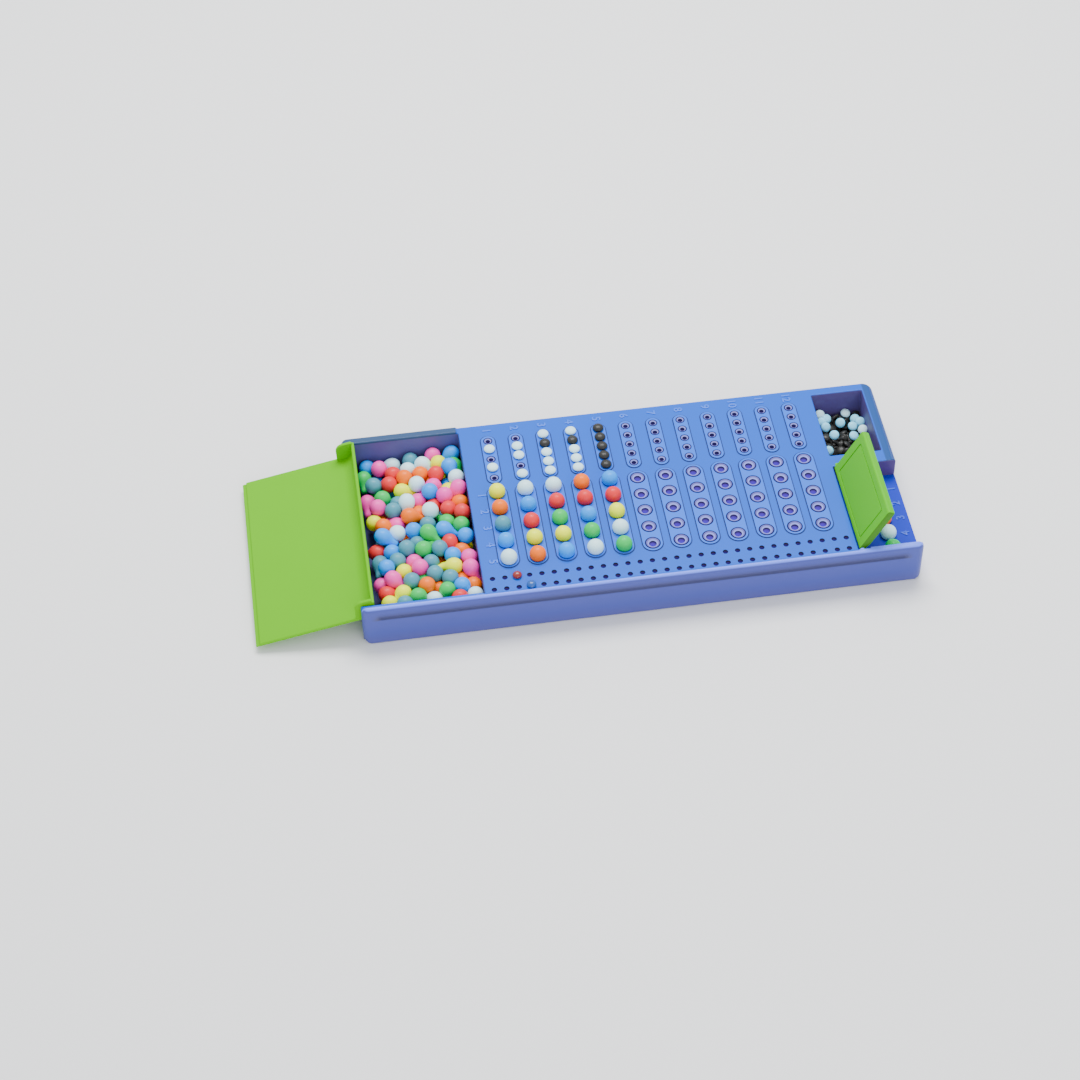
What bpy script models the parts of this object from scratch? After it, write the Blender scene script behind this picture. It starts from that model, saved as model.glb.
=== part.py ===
"""Code breaking peg game: a moulded tray with a perforated deck, a lidded bin, a hooded shelf and its pegs.

Sizes are in metres. +X runs along the board from the lidded bin to the shelf, +Y to the back and +Z up.
The origin is under the middle of the tray, on the table.
"""

import math

import bmesh
import bpy

# Clearances
fit_gap = 0.0003
seat_gap = 0.0002
pin_clearance = 0.0003
overrun = 0.0010
weld_distance = 0.000002
flat_angle = math.radians(0.5)

# Rows of sockets, and how far they lie from the tray's walls and from each other
row_count = 12
sockets_per_row = 5
row_pitch = 0.0170
deck_edge_to_first_row = 0.0170
last_row_to_deck_end = 0.0162
code_pitch = 0.01347
key_pitch = 0.00787
back_wall_to_first_key = 0.0101
key_to_code_gap = 0.01332
code_to_score_gap = 0.01322
score_row_gap = 0.0085
score_row_to_wall = 0.0015
score_count = 30
deck_edge_to_first_score = 0.0056
last_score_to_deck_end = 0.00522

# Pads round the sockets
code_pad_width = 0.0120
key_pad_width = 0.0087
pad_rise = 0.0005
pad_end_steps = 6

# Tray
wall_height = 0.0290
wall_thickness = 0.0045
wall_edge_radius = 0.0012
wall_edge_steps = 2
corner_radius = 0.0060
front_corner_radius = 0.0040
corner_steps = 4
floor_thickness = 0.0020
bin_length = 0.0698
end_wall_thickness = 0.0020
left_top_radius = 0.0030
left_foot_radius = 0.0055
right_end_radius = 0.0045
end_length = 0.0380
divider_thickness = 0.0020
rib_thickness = 0.0015
rows_between_ribs = 3
scoop_drop = 0.0018
scoop_height = 0.0072
scoop_depth = 0.0019
scoop_end_margin = 0.0080

# Deck
deck_drop = 0.0010
deck_thickness = 0.0030
ledge_width = 0.0024
code_socket_sides = 10
key_socket_sides = 6

# Code shelf and key peg bin
shelf_drop = 0.0140
shelf_thickness = 0.0025
shelf_width = 0.0685
first_answer_share = 0.1825
last_answer_share = 0.8832
shelf_edge_to_answers = 0.0145
block_drop = 0.0005
block_near_rim = 0.0093
block_right_rim = 0.0059
block_far_rim = 0.0055
shield_notch_start = 0.0005
shield_notch_length = 0.0040
shield_notch_depth = 0.0012
shield_notch_drop = 0.0060

# Lid of the code peg bin, as closed: its pivot, its top over the pivot and its flange at the hinge end
lid_pivot_from_end = 0.0047
lid_pivot_drop = 0.0055
lid_rise = 0.0055
lid_thickness = 0.0020
lid_side_gap = 0.0005
lid_flange_reach = 0.0028
lid_flange_top = 0.0055
lid_corner_radius = 0.0060
lid_cheek_width = 0.0088
lid_cheek_drop = 0.0062
lid_cheek_radius = 0.0050
lid_edge_height = 0.0042
lid_rest_gap = 0.0014
pin_radius = 0.0015
pin_length = 0.0020

# Shield over the code shelf, as closed
shield_pivot_from_deck = 0.0025
shield_pivot_drop = 0.0030
shield_reach = 0.0314
shield_thickness = 0.0020
shield_barrel_radius = 0.0022
shield_skirt = 0.0065
shield_corner_radius = 0.0055
shield_foot_radius = 0.0030
shield_side_gap = 0.0003
shield_open_degrees = 62.0
shield_panel_sink = 0.0004
shield_edge_border = 0.0076
shield_end_border = 0.0051
shield_hinge_border = 0.0030

# Code peg: ball, conical neck that sits in the socket's dish, and shank
ball_radius = 0.00495
ball_height = 0.0026
neck_radius = 0.0041
neck_drop = 0.0015
shank_radius = 0.00205
shank_length = 0.00775
socket_clearance = 0.0004
peg_steps = 8

# Key peg and score peg
key_head_radius = 0.0030
key_head_height = 0.0022
key_shank_radius = 0.0011
key_shank_length = 0.0052
key_socket_clearance = 0.0003
score_head_radius = 0.0028
key_crown_share = 0.7
key_crown_drop_share = 0.22
key_rim_share = 0.4

# Heaps of spare pegs in the two bins
heap_cell = 0.0048
heap_wall_gap = 0.0008
code_heap_drop = 0.0085
code_heap_hollow = 0.0065
code_heap_lump = 0.0016
key_heap_drop = 0.0140
key_heap_hollow = 0.0020
key_heap_lump = 0.0009
lid_sweep_margin = 0.0018

# Places that follow from these sizes
code_span = (sockets_per_row - 1) * code_pitch
key_span = (sockets_per_row - 1) * key_pitch
inner_width = (
    back_wall_to_first_key + key_span + key_to_code_gap + code_span
    + code_to_score_gap + score_row_gap + score_row_to_wall
)
board_width = inner_width + 2 * wall_thickness
deck_length = deck_edge_to_first_row + (row_count - 1) * row_pitch + last_row_to_deck_end
board_length = end_wall_thickness + bin_length + deck_length + end_length

left_end = -board_length / 2
right_end = board_length / 2
front_face = -board_width / 2
back_face = board_width / 2
front_inner = front_face + wall_thickness
back_inner = back_face - wall_thickness
bin_left = left_end + end_wall_thickness
deck_left = bin_left + bin_length
deck_right = deck_left + deck_length
deck_top = wall_height - deck_drop
deck_bottom = deck_top - deck_thickness
ledge_top = deck_bottom - fit_gap
pad_top = deck_top + pad_rise
shelf_top = wall_height - shelf_drop
block_top = wall_height - block_drop
first_key_y = back_inner - back_wall_to_first_key
first_code_y = first_key_y - key_span - key_to_code_gap
score_pitch = (deck_length - deck_edge_to_first_score - last_score_to_deck_end) / (score_count - 1)
score_ys = (front_inner + score_row_to_wall + score_row_gap, front_inner + score_row_to_wall)
block_near_face = front_inner + shelf_width
key_bin_left = deck_right
key_bin_right = right_end - block_right_rim
key_bin_front = block_near_face + block_near_rim
key_bin_back = back_face - block_far_rim
answer_x = right_end - shelf_edge_to_answers

code_hole_radius = shank_radius + socket_clearance
dish_radius = neck_radius + socket_clearance
key_hole_radius = key_shank_radius + key_socket_clearance

lid_pivot = (left_end + lid_pivot_from_end, 0, wall_height - lid_pivot_drop)
lid_reach = deck_left - fit_gap - lid_pivot[0]
lid_half_width = inner_width / 2 - lid_side_gap
# The open lid leans on the tray's end until its free edge stands lid_edge_height over the table
lid_overturn = (
    math.asin((lid_pivot[2] - lid_edge_height) / math.hypot(lid_reach, lid_rise))
    - math.atan2(lid_rise, lid_reach)
)
lid_open_angle = math.pi + lid_overturn
# The tray's end wall stops just under the open lid
lid_underside = lid_pivot[2] - lid_rise / math.cos(lid_overturn)
end_wall_height = lid_underside - lid_pivot_from_end * math.tan(lid_overturn) - lid_rest_gap

shield_pivot = (
    deck_right + shield_pivot_from_deck,
    (front_inner + block_near_face) / 2,
    wall_height - shield_pivot_drop,
)
shield_half_width = shelf_width / 2 - shield_side_gap

# Colours of the pieces, as red, green and blue
colours = {
    "board": (0.147, 0.291, 0.651),
    "lid": (0.305, 0.645, 0.061),
    "white": (0.830, 0.871, 0.956),
    "sky": (0.091, 0.497, 1.000),
    "red": (0.687, 0.080, 0.069),
    "orange": (0.871, 0.216, 0.051),
    "yellow": (0.855, 0.745, 0.080),
    "green": (0.091, 0.527, 0.091),
    "grey": (0.171, 0.266, 0.296),
    "black": (0.061, 0.058, 0.051),
    "score_red": (0.578, 0.034, 0.032),
    "score_blue": (0.071, 0.262, 0.578),
    "mixed": (0.500, 0.450, 0.350),
}

# Code pegs in the first rows, from the back, and the key pegs beside them: w white, k black, - empty
code_rows = (
    ("yellow", "orange", "grey", "sky", "white"),
    ("white", "sky", "red", "yellow", "orange"),
    ("white", "red", "green", "yellow", "sky"),
    ("orange", "red", "sky", "green", "white"),
    ("sky", "red", "yellow", "white", "green"),
)
key_rows = ("-w-w-", "-ww-w", "wkwww", "wkwww", "kkkkk")
key_names = {"w": "white", "k": "black"}
answer_row = ("yellow", "sky", "orange", "white", "green")
score_marks = (("score_red", 0, 2), ("score_blue", 1, 3))


def remove_old_objects():
    for old in list(bpy.data.objects):
        bpy.data.objects.remove(old, do_unlink=True)


def new_collection(name):
    collection = bpy.data.collections.new(name)
    bpy.context.scene.collection.children.link(collection)
    return collection


remove_old_objects()
game = new_collection("code_breaking_peg_game")
cutters = new_collection("cutters")


def material(name, colour, roughness=0.35):
    made = bpy.data.materials.new(name)
    made.use_nodes = True
    shader = made.node_tree.nodes["Principled BSDF"]
    shader.inputs["Base Color"].default_value = (*colour, 1.0)
    shader.inputs["Roughness"].default_value = roughness
    shader.inputs["Metallic"].default_value = 0.0
    return made


def as_piece(obj, colour, roughness=0.35):
    """Puts a finished object in the game's collection with a material of its own."""
    for collection in list(obj.users_collection):
        collection.objects.unlink(obj)
    game.objects.link(obj)
    made = material(obj.name, colours[colour], roughness)
    if not obj.data.materials:
        obj.data.materials.append(None)
    obj.material_slots[0].link = "OBJECT"
    obj.material_slots[0].material = made
    return obj


def as_cutter(obj):
    obj.hide_render = True
    obj.display_type = "WIRE"
    return obj


def filleted(corners, steps=corner_steps):
    """The points of a closed outline whose corners (u, v, radius) are rounded with arcs."""
    points = []
    for number, (u, v, radius) in enumerate(corners):
        if not radius:
            points.append((u, v))
            continue
        before = corners[number - 1]
        after = corners[(number + 1) % len(corners)]
        back = math.atan2(before[1] - v, before[0] - u)
        ahead = math.atan2(after[1] - v, after[0] - u)
        turn = (ahead - back + math.pi) % (2 * math.pi) - math.pi
        reach = radius / math.sin(abs(turn) / 2)
        middle = back + turn / 2
        centre_u = u + reach * math.cos(middle)
        centre_v = v + reach * math.sin(middle)
        sweep = math.copysign(math.pi - abs(turn), -turn)
        for step in range(steps + 1):
            angle = middle + math.pi + sweep * (step / steps - 0.5)
            points.append((centre_u + radius * math.cos(angle), centre_v + radius * math.sin(angle)))
    return points


def slab(name, outline, low, high, axis="Z", edge_radius=0.0):
    """A flat outline drawn square to an axis and made solid from low to high along it.

    The outline's u and v run along X and Y for axis Z, X and Z for axis Y, Y and Z for axis X.
    """
    curve = bpy.data.curves.new(name, "CURVE")
    curve.dimensions = "2D"
    curve.fill_mode = "BOTH"
    curve.extrude = (high - low) / 2 - edge_radius
    curve.bevel_depth = edge_radius
    curve.bevel_resolution = wall_edge_steps if edge_radius else 0
    curve.offset = -edge_radius
    spline = curve.splines.new("POLY")
    spline.points.add(len(outline) - 1)
    for point, (u, v) in zip(spline.points, outline):
        point.co = (u, v, 0, 1)
    spline.use_cyclic_u = True
    drawn = bpy.data.objects.new(name + "_outline", curve)
    middle = (low + high) / 2
    if axis == "Z":
        drawn.location = (0, 0, middle)
    elif axis == "Y":
        drawn.location = (0, middle, 0)
        drawn.rotation_euler = (math.radians(90), 0, 0)
    else:
        drawn.location = (middle, 0, 0)
        drawn.rotation_euler = (math.radians(90), 0, math.radians(90))
    cutters.objects.link(drawn)
    return meshed(drawn, name)


def meshed(drawn, name):
    """A curve object made a closed mesh object in its place."""
    bpy.context.view_layer.update()
    depsgraph = bpy.context.evaluated_depsgraph_get()
    mesh = bpy.data.meshes.new_from_object(drawn.evaluated_get(depsgraph))
    mesh.name = name
    mesh.transform(drawn.matrix_world)
    form = bmesh.new()
    form.from_mesh(mesh)
    bmesh.ops.remove_doubles(form, verts=form.verts, dist=weld_distance)
    bmesh.ops.dissolve_limit(form, angle_limit=flat_angle, verts=form.verts, edges=form.edges)
    bmesh.ops.recalc_face_normals(form, faces=form.faces)
    form.to_mesh(mesh)
    form.free()
    bpy.data.objects.remove(drawn)
    solid = bpy.data.objects.new(name, mesh)
    cutters.objects.link(solid)
    return solid


def block(name, low, high):
    """A box between two corners."""
    form = bmesh.new()
    bmesh.ops.create_cube(form, size=1.0)
    for vert in form.verts:
        vert.co = [a + (share + 0.5) * (b - a) for share, a, b in zip(vert.co, low, high)]
    mesh = bpy.data.meshes.new(name)
    form.to_mesh(mesh)
    form.free()
    solid = bpy.data.objects.new(name, mesh)
    cutters.objects.link(solid)
    return solid


def rod(name, radius, low, high, centre, sides=16):
    """A cylinder along Y, from low to high, round the centre (x, z)."""
    bpy.ops.mesh.primitive_cylinder_add(
        vertices=sides,
        radius=radius,
        depth=high - low,
        location=(centre[0], (low + high) / 2, centre[1]),
        rotation=(math.radians(90), 0, 0),
    )
    solid = bpy.context.object
    solid.name = name
    for collection in list(solid.users_collection):
        collection.objects.unlink(solid)
    cutters.objects.link(solid)
    return solid


def combined(name, solids):
    """Several separate closed solids as one object, to cut or join with all of them at once."""
    bpy.context.view_layer.update()
    form = bmesh.new()
    for solid in solids:
        copy = solid.data.copy()
        copy.transform(solid.matrix_world)
        form.from_mesh(copy)
        bpy.data.meshes.remove(copy)
    mesh = bpy.data.meshes.new(name)
    form.to_mesh(mesh)
    form.free()
    for solid in solids:
        bpy.data.objects.remove(solid)
    whole = bpy.data.objects.new(name, mesh)
    cutters.objects.link(whole)
    return whole


def shaped(piece, operation, tool):
    """Joins the tool to the piece, or takes it away, with a Boolean modifier that stays live."""
    step = piece.modifiers.new(tool.name, "BOOLEAN")
    step.operation = operation
    step.solver = "EXACT"
    step.object = as_cutter(tool)
    tool.parent = piece
    return piece


def turned(name, profile, steps=peg_steps):
    """A profile of (radius, height) points, from the top down, turned round Z by a Screw modifier."""
    mesh = bpy.data.meshes.new(name)
    edges = [(number, number + 1) for number in range(len(profile) - 1)]
    mesh.from_pydata([(radius, 0, height) for radius, height in profile], edges, [])
    return mesh, steps


def standing_peg(name, turned_mesh, place, colour):
    mesh, steps = turned_mesh
    peg = bpy.data.objects.new(name, mesh)
    cutters.objects.link(peg)
    spin = peg.modifiers.new("turn", "SCREW")
    spin.angle = 2 * math.pi
    spin.steps = steps
    spin.render_steps = steps
    spin.screw_offset = 0
    spin.use_merge_vertices = True
    spin.merge_threshold = weld_distance
    spin.use_smooth_shade = True
    peg.location = place
    return as_piece(peg, colour, 0.25)


code_ys = [first_code_y - number * code_pitch for number in range(sockets_per_row)]
key_ys = [first_key_y - number * key_pitch for number in range(sockets_per_row)]
row_xs = [deck_left + deck_edge_to_first_row + number * row_pitch for number in range(row_count)]
score_xs = [deck_left + deck_edge_to_first_score + number * score_pitch for number in range(score_count)]
answer_step_share = (last_answer_share - first_answer_share) / (sockets_per_row - 1)
answer_ys = [
    block_near_face - shelf_width * (first_answer_share + number * answer_step_share)
    for number in range(sockets_per_row)
]


def stepped_cone(name, rings, place, sides):
    """A stack of round sections (radius, height) under one another, as a cutter for one socket."""
    form = bmesh.new()
    loops = []
    for radius, height in rings:
        loop = [
            form.verts.new((
                place[0] + radius * math.cos(2 * math.pi * (side + 0.5) / sides),
                place[1] + radius * math.sin(2 * math.pi * (side + 0.5) / sides),
                place[2] + height,
            ))
            for side in range(sides)
        ]
        loops.append(loop)
    for upper, lower in zip(loops, loops[1:]):
        for side in range(sides):
            after = (side + 1) % sides
            form.faces.new((upper[side], lower[side], lower[after], upper[after]))
    form.faces.new(loops[0])
    form.faces.new(list(reversed(loops[-1])))
    bmesh.ops.recalc_face_normals(form, faces=form.faces)
    mesh = bpy.data.meshes.new(name)
    form.to_mesh(mesh)
    form.free()
    solid = bpy.data.objects.new(name, mesh)
    cutters.objects.link(solid)
    return solid


def code_socket(x, y, top, bottom):
    """A dish that takes a peg's neck, with the hole for its shank below."""
    dish_slope = (dish_radius - code_hole_radius) / neck_drop
    rings = (
        (dish_radius + overrun * dish_slope, overrun),
        (code_hole_radius, -neck_drop),
        (code_hole_radius, bottom - top - overrun),
    )
    return stepped_cone("code_socket", rings, (x, y, top), code_socket_sides)


def key_socket(x, y, top):
    rings = ((key_hole_radius, overrun), (key_hole_radius, deck_bottom - top - overrun))
    return stepped_cone("key_socket", rings, (x, y, top), key_socket_sides)


def pad(x, first_y, span, width):
    """A long pad with round ends, standing out of the deck round one group of sockets."""
    half = width / 2
    corners = (
        (x - half, first_y - span - half, half),
        (x + half, first_y - span - half, half),
        (x + half, first_y + half, half),
        (x - half, first_y + half, half),
    )
    return slab("pad", filleted(corners, pad_end_steps // 2), deck_top - overrun, pad_top)


def make_tray():
    # The outline in plan with round corners and edges, kept only where the side view's outline is
    plan = [
        (left_end, front_face, front_corner_radius),
        (right_end, front_face, front_corner_radius),
        (right_end, back_face, corner_radius),
        (left_end, back_face, front_corner_radius),
    ]
    tray = slab("game_tray", filleted(plan), 0, wall_height, edge_radius=wall_edge_radius)
    side = [
        (left_end, 0, left_foot_radius),
        (right_end, 0, right_end_radius),
        (right_end, wall_height, right_end_radius),
        (left_end, wall_height, left_top_radius),
    ]
    shaped(
        tray, "INTERSECT",
        slab("side_outline", filleted(side), front_face - overrun, back_face + overrun, "Y"),
    )

    over = wall_height + overrun
    outside = left_end - overrun
    hollows = [
        block("bin_hollow", (bin_left, front_inner, floor_thickness),
              (deck_left + fit_gap, back_inner, over)),
        block("end_opening", (outside, front_inner, end_wall_height),
              (bin_left + end_wall_thickness, back_inner, over)),
        block("deck_recess", (deck_left - overrun, front_inner - ledge_width, ledge_top),
              (deck_right, back_inner + ledge_width, over)),
        block("shelf_space", (deck_right - overrun, front_inner, shelf_top),
              (right_end + overrun, block_near_face, over)),
        block("under_shelf", (deck_right - overrun - divider_thickness, front_inner + divider_thickness,
                              floor_thickness),
              (right_end - divider_thickness, block_near_face - divider_thickness,
               shelf_top - shelf_thickness)),
        block("key_bin_hollow", (key_bin_left, key_bin_front, floor_thickness),
              (key_bin_right, key_bin_back, over)),
        block("block_step", (deck_right - overrun, block_near_face - overrun, block_top),
              (right_end + overrun, back_face + overrun, over)),
    ]
    # Between the divider walls, cross ribs part the space under the deck
    rib_xs = [
        (row_xs[row - 1] + row_xs[row]) / 2 for row in range(rows_between_ribs, row_count, rows_between_ribs)
    ]
    bay_lows = [deck_left + fit_gap + divider_thickness] + [x + rib_thickness / 2 for x in rib_xs]
    bay_highs = [x - rib_thickness / 2 for x in rib_xs] + [deck_right - divider_thickness]
    for low, high in zip(bay_lows, bay_highs):
        hollows.append(block("bay", (low, front_inner, floor_thickness), (high, back_inner, over)))
    hollows += [code_socket(answer_x, y, shelf_top, shelf_top - shelf_thickness) for y in answer_ys]
    for hollow in hollows:
        shaped(tray, "DIFFERENCE", hollow)

    # The scoop along the front wall: it leans inwards on its way down and ends in a step
    scoop_top = wall_height - scoop_drop
    scoop = [
        (front_face - overrun, scoop_top, 0),
        (front_face, scoop_top, 0),
        (front_face + scoop_depth, scoop_top - scoop_height, 0),
        (front_face - overrun, scoop_top - scoop_height, 0),
    ]
    shaped(
        tray, "DIFFERENCE",
        slab("scoop", filleted(scoop), left_end + scoop_end_margin, right_end - scoop_end_margin, "X"),
    )

    # Holes for the hinge pins, and the notch beside the shield's barrel
    hole_radius = pin_radius + pin_clearance
    lid_centre = (lid_pivot[0], lid_pivot[2])
    shield_centre = (shield_pivot[0], shield_pivot[2])
    reach = pin_length + fit_gap
    pin_holes = [
        rod("pin_hole", hole_radius, front_inner - reach, front_inner + overrun, lid_centre),
        rod("pin_hole", hole_radius, back_inner - overrun, back_inner + reach, lid_centre),
        rod("pin_hole", hole_radius, front_inner - reach, front_inner + overrun, shield_centre),
        rod("pin_hole", hole_radius, block_near_face - overrun, block_near_face + reach, shield_centre),
    ]
    shaped(tray, "DIFFERENCE", combined("pin_holes", pin_holes))
    notch_left = shield_pivot[0] + shield_notch_start
    shaped(tray, "DIFFERENCE", block(
        "shield_notch",
        (notch_left, front_inner - shield_notch_depth, wall_height - shield_notch_drop),
        (notch_left + shield_notch_length, front_inner + overrun, over),
    ))
    return as_piece(tray, "board")


def make_deck():
    edge = front_inner - ledge_width + fit_gap
    deck = block(
        "peg_deck",
        (deck_left, edge, deck_bottom),
        (deck_right - fit_gap, -edge, deck_top),
    )
    pads = [pad(x, first_code_y, code_span, code_pad_width) for x in row_xs]
    pads += [pad(x, first_key_y, key_span, key_pad_width) for x in row_xs]
    shaped(deck, "UNION", combined("pads", pads))
    sockets = [code_socket(x, y, pad_top, deck_bottom) for x in row_xs for y in code_ys]
    sockets += [key_socket(x, y, pad_top) for x in row_xs for y in key_ys]
    sockets += [key_socket(x, y, deck_top) for x in score_xs for y in score_ys]
    shaped(deck, "DIFFERENCE", combined("sockets", sockets))
    return as_piece(deck, "board")


def make_lid():
    """The lid as closed, round its pivot, then swung over to where it lies open."""
    lean = lid_overturn
    # The flange stands upright once the lid is open, so it leans out by the same angle when closed
    foot_x, foot_z = (
        -lid_flange_reach * math.cos(lean) - lid_flange_top * math.sin(lean),
        lid_flange_reach * math.sin(lean) - lid_flange_top * math.cos(lean),
    )
    corner_x = foot_x + (lid_rise - foot_z) * math.tan(lean)
    inner_rise = lid_rise - lid_thickness
    inner_foot_x = foot_x + lid_thickness * math.cos(lean)
    inner_foot_z = foot_z - lid_thickness * math.sin(lean)
    inner_corner_x = inner_foot_x + (inner_rise - inner_foot_z) * math.tan(lean)
    section = [
        (lid_reach, lid_rise, 0),
        (corner_x, lid_rise, lid_corner_radius),
        (foot_x, foot_z, 0),
        (inner_foot_x, inner_foot_z, 0),
        (inner_corner_x, inner_rise, lid_corner_radius - lid_thickness),
        (lid_reach, inner_rise, 0),
    ]
    lid = slab("code_lid", filleted(section), -lid_half_width, lid_half_width, "Y")
    middle = lid_thickness / 2
    cheek_edge = corner_x + lid_cheek_width
    cheek = [
        (corner_x + middle, lid_rise - middle, lid_corner_radius - middle),
        (foot_x + middle, -lid_cheek_drop, 0),
        (cheek_edge, -lid_cheek_drop, lid_cheek_radius),
        (cheek_edge, lid_rise - middle, 0),
    ]
    outer = lid_half_width - seat_gap / 2
    for side, low, high in (("front", -outer, lid_thickness - outer), ("back", outer - lid_thickness, outer)):
        shaped(lid, "UNION", slab(side + "_lid_cheek", filleted(cheek), low, high, "Y"))
    for side, sign in (("front", -1), ("back", 1)):
        ends = sorted((sign * (outer - middle), sign * (inner_width / 2 + pin_length)))
        shaped(lid, "UNION", rod(side + "_lid_pin", pin_radius, *ends, (0, 0), 12))
    lid.location = lid_pivot
    lid.rotation_euler = (0, -lid_open_angle, 0)
    return as_piece(lid, "lid")


def make_shield():
    """The shield as closed, round its pivot, then lifted to where it stands open."""
    top = shield_barrel_radius
    under = top - shield_thickness
    foot = top - shield_skirt
    inner_end = shield_reach - shield_thickness
    section = [
        (0, top, 0),
        (0, under, 0),
        (inner_end, under, shield_corner_radius - shield_thickness),
        (inner_end, foot, 0),
        (shield_reach, foot, 0),
        (shield_reach, top, shield_corner_radius),
    ]
    shield = slab("shield", filleted(section), -shield_half_width, shield_half_width, "Y")
    shaped(shield, "UNION", rod("shield_barrel", shield_barrel_radius, -shield_half_width + seat_gap / 2,
                                shield_half_width - seat_gap / 2, (0, 0), 12))
    middle = shield_thickness / 2
    cheek = [
        (0, top - middle, 0),
        (0, -middle, 0),
        (shield_foot_radius + middle, foot, shield_foot_radius),
        (shield_reach - middle, foot, 0),
        (shield_reach - middle, top - middle, shield_corner_radius - middle),
    ]
    outer = shield_half_width - seat_gap
    for side, low, high in (("front", -outer, shield_thickness - outer),
                            ("back", outer - shield_thickness, outer)):
        shaped(shield, "UNION", slab(side + "_shield_cheek", filleted(cheek), low, high, "Y"))
    for side, sign in (("front", -1), ("back", 1)):
        ends = sorted((sign * (outer - middle), sign * (shelf_width / 2 + pin_length)))
        shaped(shield, "UNION", rod(side + "_shield_pin", pin_radius, *ends, (0, 0), 12))
    # The broad panel lies a little lower than the rim round it
    shaped(shield, "DIFFERENCE", block(
        "shield_panel",
        (shield_hinge_border, shield_end_border - shield_half_width, top - shield_panel_sink),
        (shield_reach - shield_edge_border, shield_half_width - shield_end_border, top + overrun),
    ))
    shield.location = shield_pivot
    shield.rotation_euler = (0, -math.radians(shield_open_degrees), 0)
    return as_piece(shield, "lid")


def code_peg_profile():
    """Ball, neck and shank, from the top down, with height 0 at the rim of the socket's dish."""
    neck_angle = math.acos(neck_radius / ball_radius)
    arc = [math.pi / 2, math.pi / 4, 0, -neck_angle]
    points = [
        (ball_radius * math.cos(angle) if number else 0, ball_height + ball_radius * math.sin(angle))
        for number, angle in enumerate(arc)
    ]
    points += [(shank_radius, -neck_drop), (shank_radius, -shank_length), (0, -shank_length)]
    return points


def key_peg_profile(head_radius):
    """A lens-shaped head over a thin shank, with height 0 at the face that the head sits on."""
    head_top = seat_gap + key_head_height
    return [
        (0, head_top),
        (head_radius * key_crown_share, head_top - key_head_height * key_crown_drop_share),
        (head_radius, seat_gap + key_head_height * key_rim_share),
        (key_shank_radius, seat_gap),
        (key_shank_radius, -key_shank_length),
        (0, -key_shank_length),
    ]


def make_pegs():
    """Every seated peg, each an object of its own that shares its kind's profile."""
    code_peg = turned("code_peg", code_peg_profile())
    for row, names in enumerate(code_rows):
        for number, colour in enumerate(names):
            name = f"code_peg_row{row + 1}_{number + 1}"
            standing_peg(name, code_peg, (row_xs[row], code_ys[number], pad_top), colour)
    key_peg = turned("key_peg", key_peg_profile(key_head_radius))
    for row, marks in enumerate(key_rows):
        for number, mark in enumerate(marks):
            if mark in key_names:
                name = f"key_peg_row{row + 1}_{number + 1}"
                standing_peg(name, key_peg, (row_xs[row], key_ys[number], pad_top), key_names[mark])
    score_peg = turned("score_peg", key_peg_profile(score_head_radius))
    for colour, line, place in score_marks:
        name = "score_peg_" + colour.removeprefix("score_")
        standing_peg(name, score_peg, (score_xs[place], score_ys[line], deck_top), colour)
    for number, colour in enumerate(answer_row):
        standing_peg(f"answer_peg_{number + 1}", code_peg, (answer_x, answer_ys[number], shelf_top), colour)


def make_heap(name, low, high, height_at, colour):
    """Loose pegs lying in a bin, as one lumpy solid: a grid raised by a formula, over a flat base."""
    columns = max(2, round((high[0] - low[0]) / heap_cell))
    lines = max(2, round((high[1] - low[1]) / heap_cell))
    form = bmesh.new()
    bmesh.ops.create_grid(form, x_segments=columns, y_segments=lines, size=0.5)
    for vert in form.verts:
        across, along = vert.co.x + 0.5, vert.co.y + 0.5
        vert.co = (
            low[0] + across * (high[0] - low[0]),
            low[1] + along * (high[1] - low[1]),
            height_at(across, along),
        )
    base = bmesh.ops.extrude_face_region(form, geom=form.faces[:])["geom"]
    for vert in base:
        if isinstance(vert, bmesh.types.BMVert):
            vert.co.z = floor_thickness + fit_gap
    bmesh.ops.dissolve_limit(form, angle_limit=flat_angle, verts=form.verts, edges=form.edges)
    bmesh.ops.recalc_face_normals(form, faces=form.faces)
    mesh = bpy.data.meshes.new(name)
    form.to_mesh(mesh)
    form.free()
    heap = bpy.data.objects.new(name, mesh)
    cutters.objects.link(heap)
    return as_piece(heap, colour, 0.5)


def lumps(across, along, count_across, count_along):
    """Rows of rounded lumps, each second row shifted by half a lump."""
    shift = math.cos(math.pi * count_along * along)
    return math.cos(2 * math.pi * count_across * across + math.pi * shift) * shift


def make_heaps():
    code_low = (lid_pivot[0] + lid_cheek_drop + lid_sweep_margin, front_inner + heap_wall_gap)
    code_high = (deck_left - heap_wall_gap, back_inner - heap_wall_gap)
    key_low = (key_bin_left + heap_wall_gap, key_bin_front + heap_wall_gap)
    key_high = (key_bin_right - heap_wall_gap, key_bin_back - heap_wall_gap)

    def code_height(across, along):
        sunk = code_heap_hollow * along * (1 - across * across)
        return wall_height - code_heap_drop - sunk + code_heap_lump * lumps(across, along, 3, 7)

    def key_height(across, along):
        middle = math.sin(math.pi * across) * math.sin(math.pi * along)
        sunk = key_heap_hollow * (1 - middle)
        return wall_height - key_heap_drop - sunk + key_heap_lump * lumps(across, along, 3, 5)

    make_heap("code_peg_heap", code_low, code_high, code_height, "mixed")
    make_heap("key_peg_heap", key_low, key_high, key_height, "mixed")


make_tray()
make_lid()
make_shield()
make_pegs()
make_heaps()
make_deck()
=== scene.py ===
import math

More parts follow.
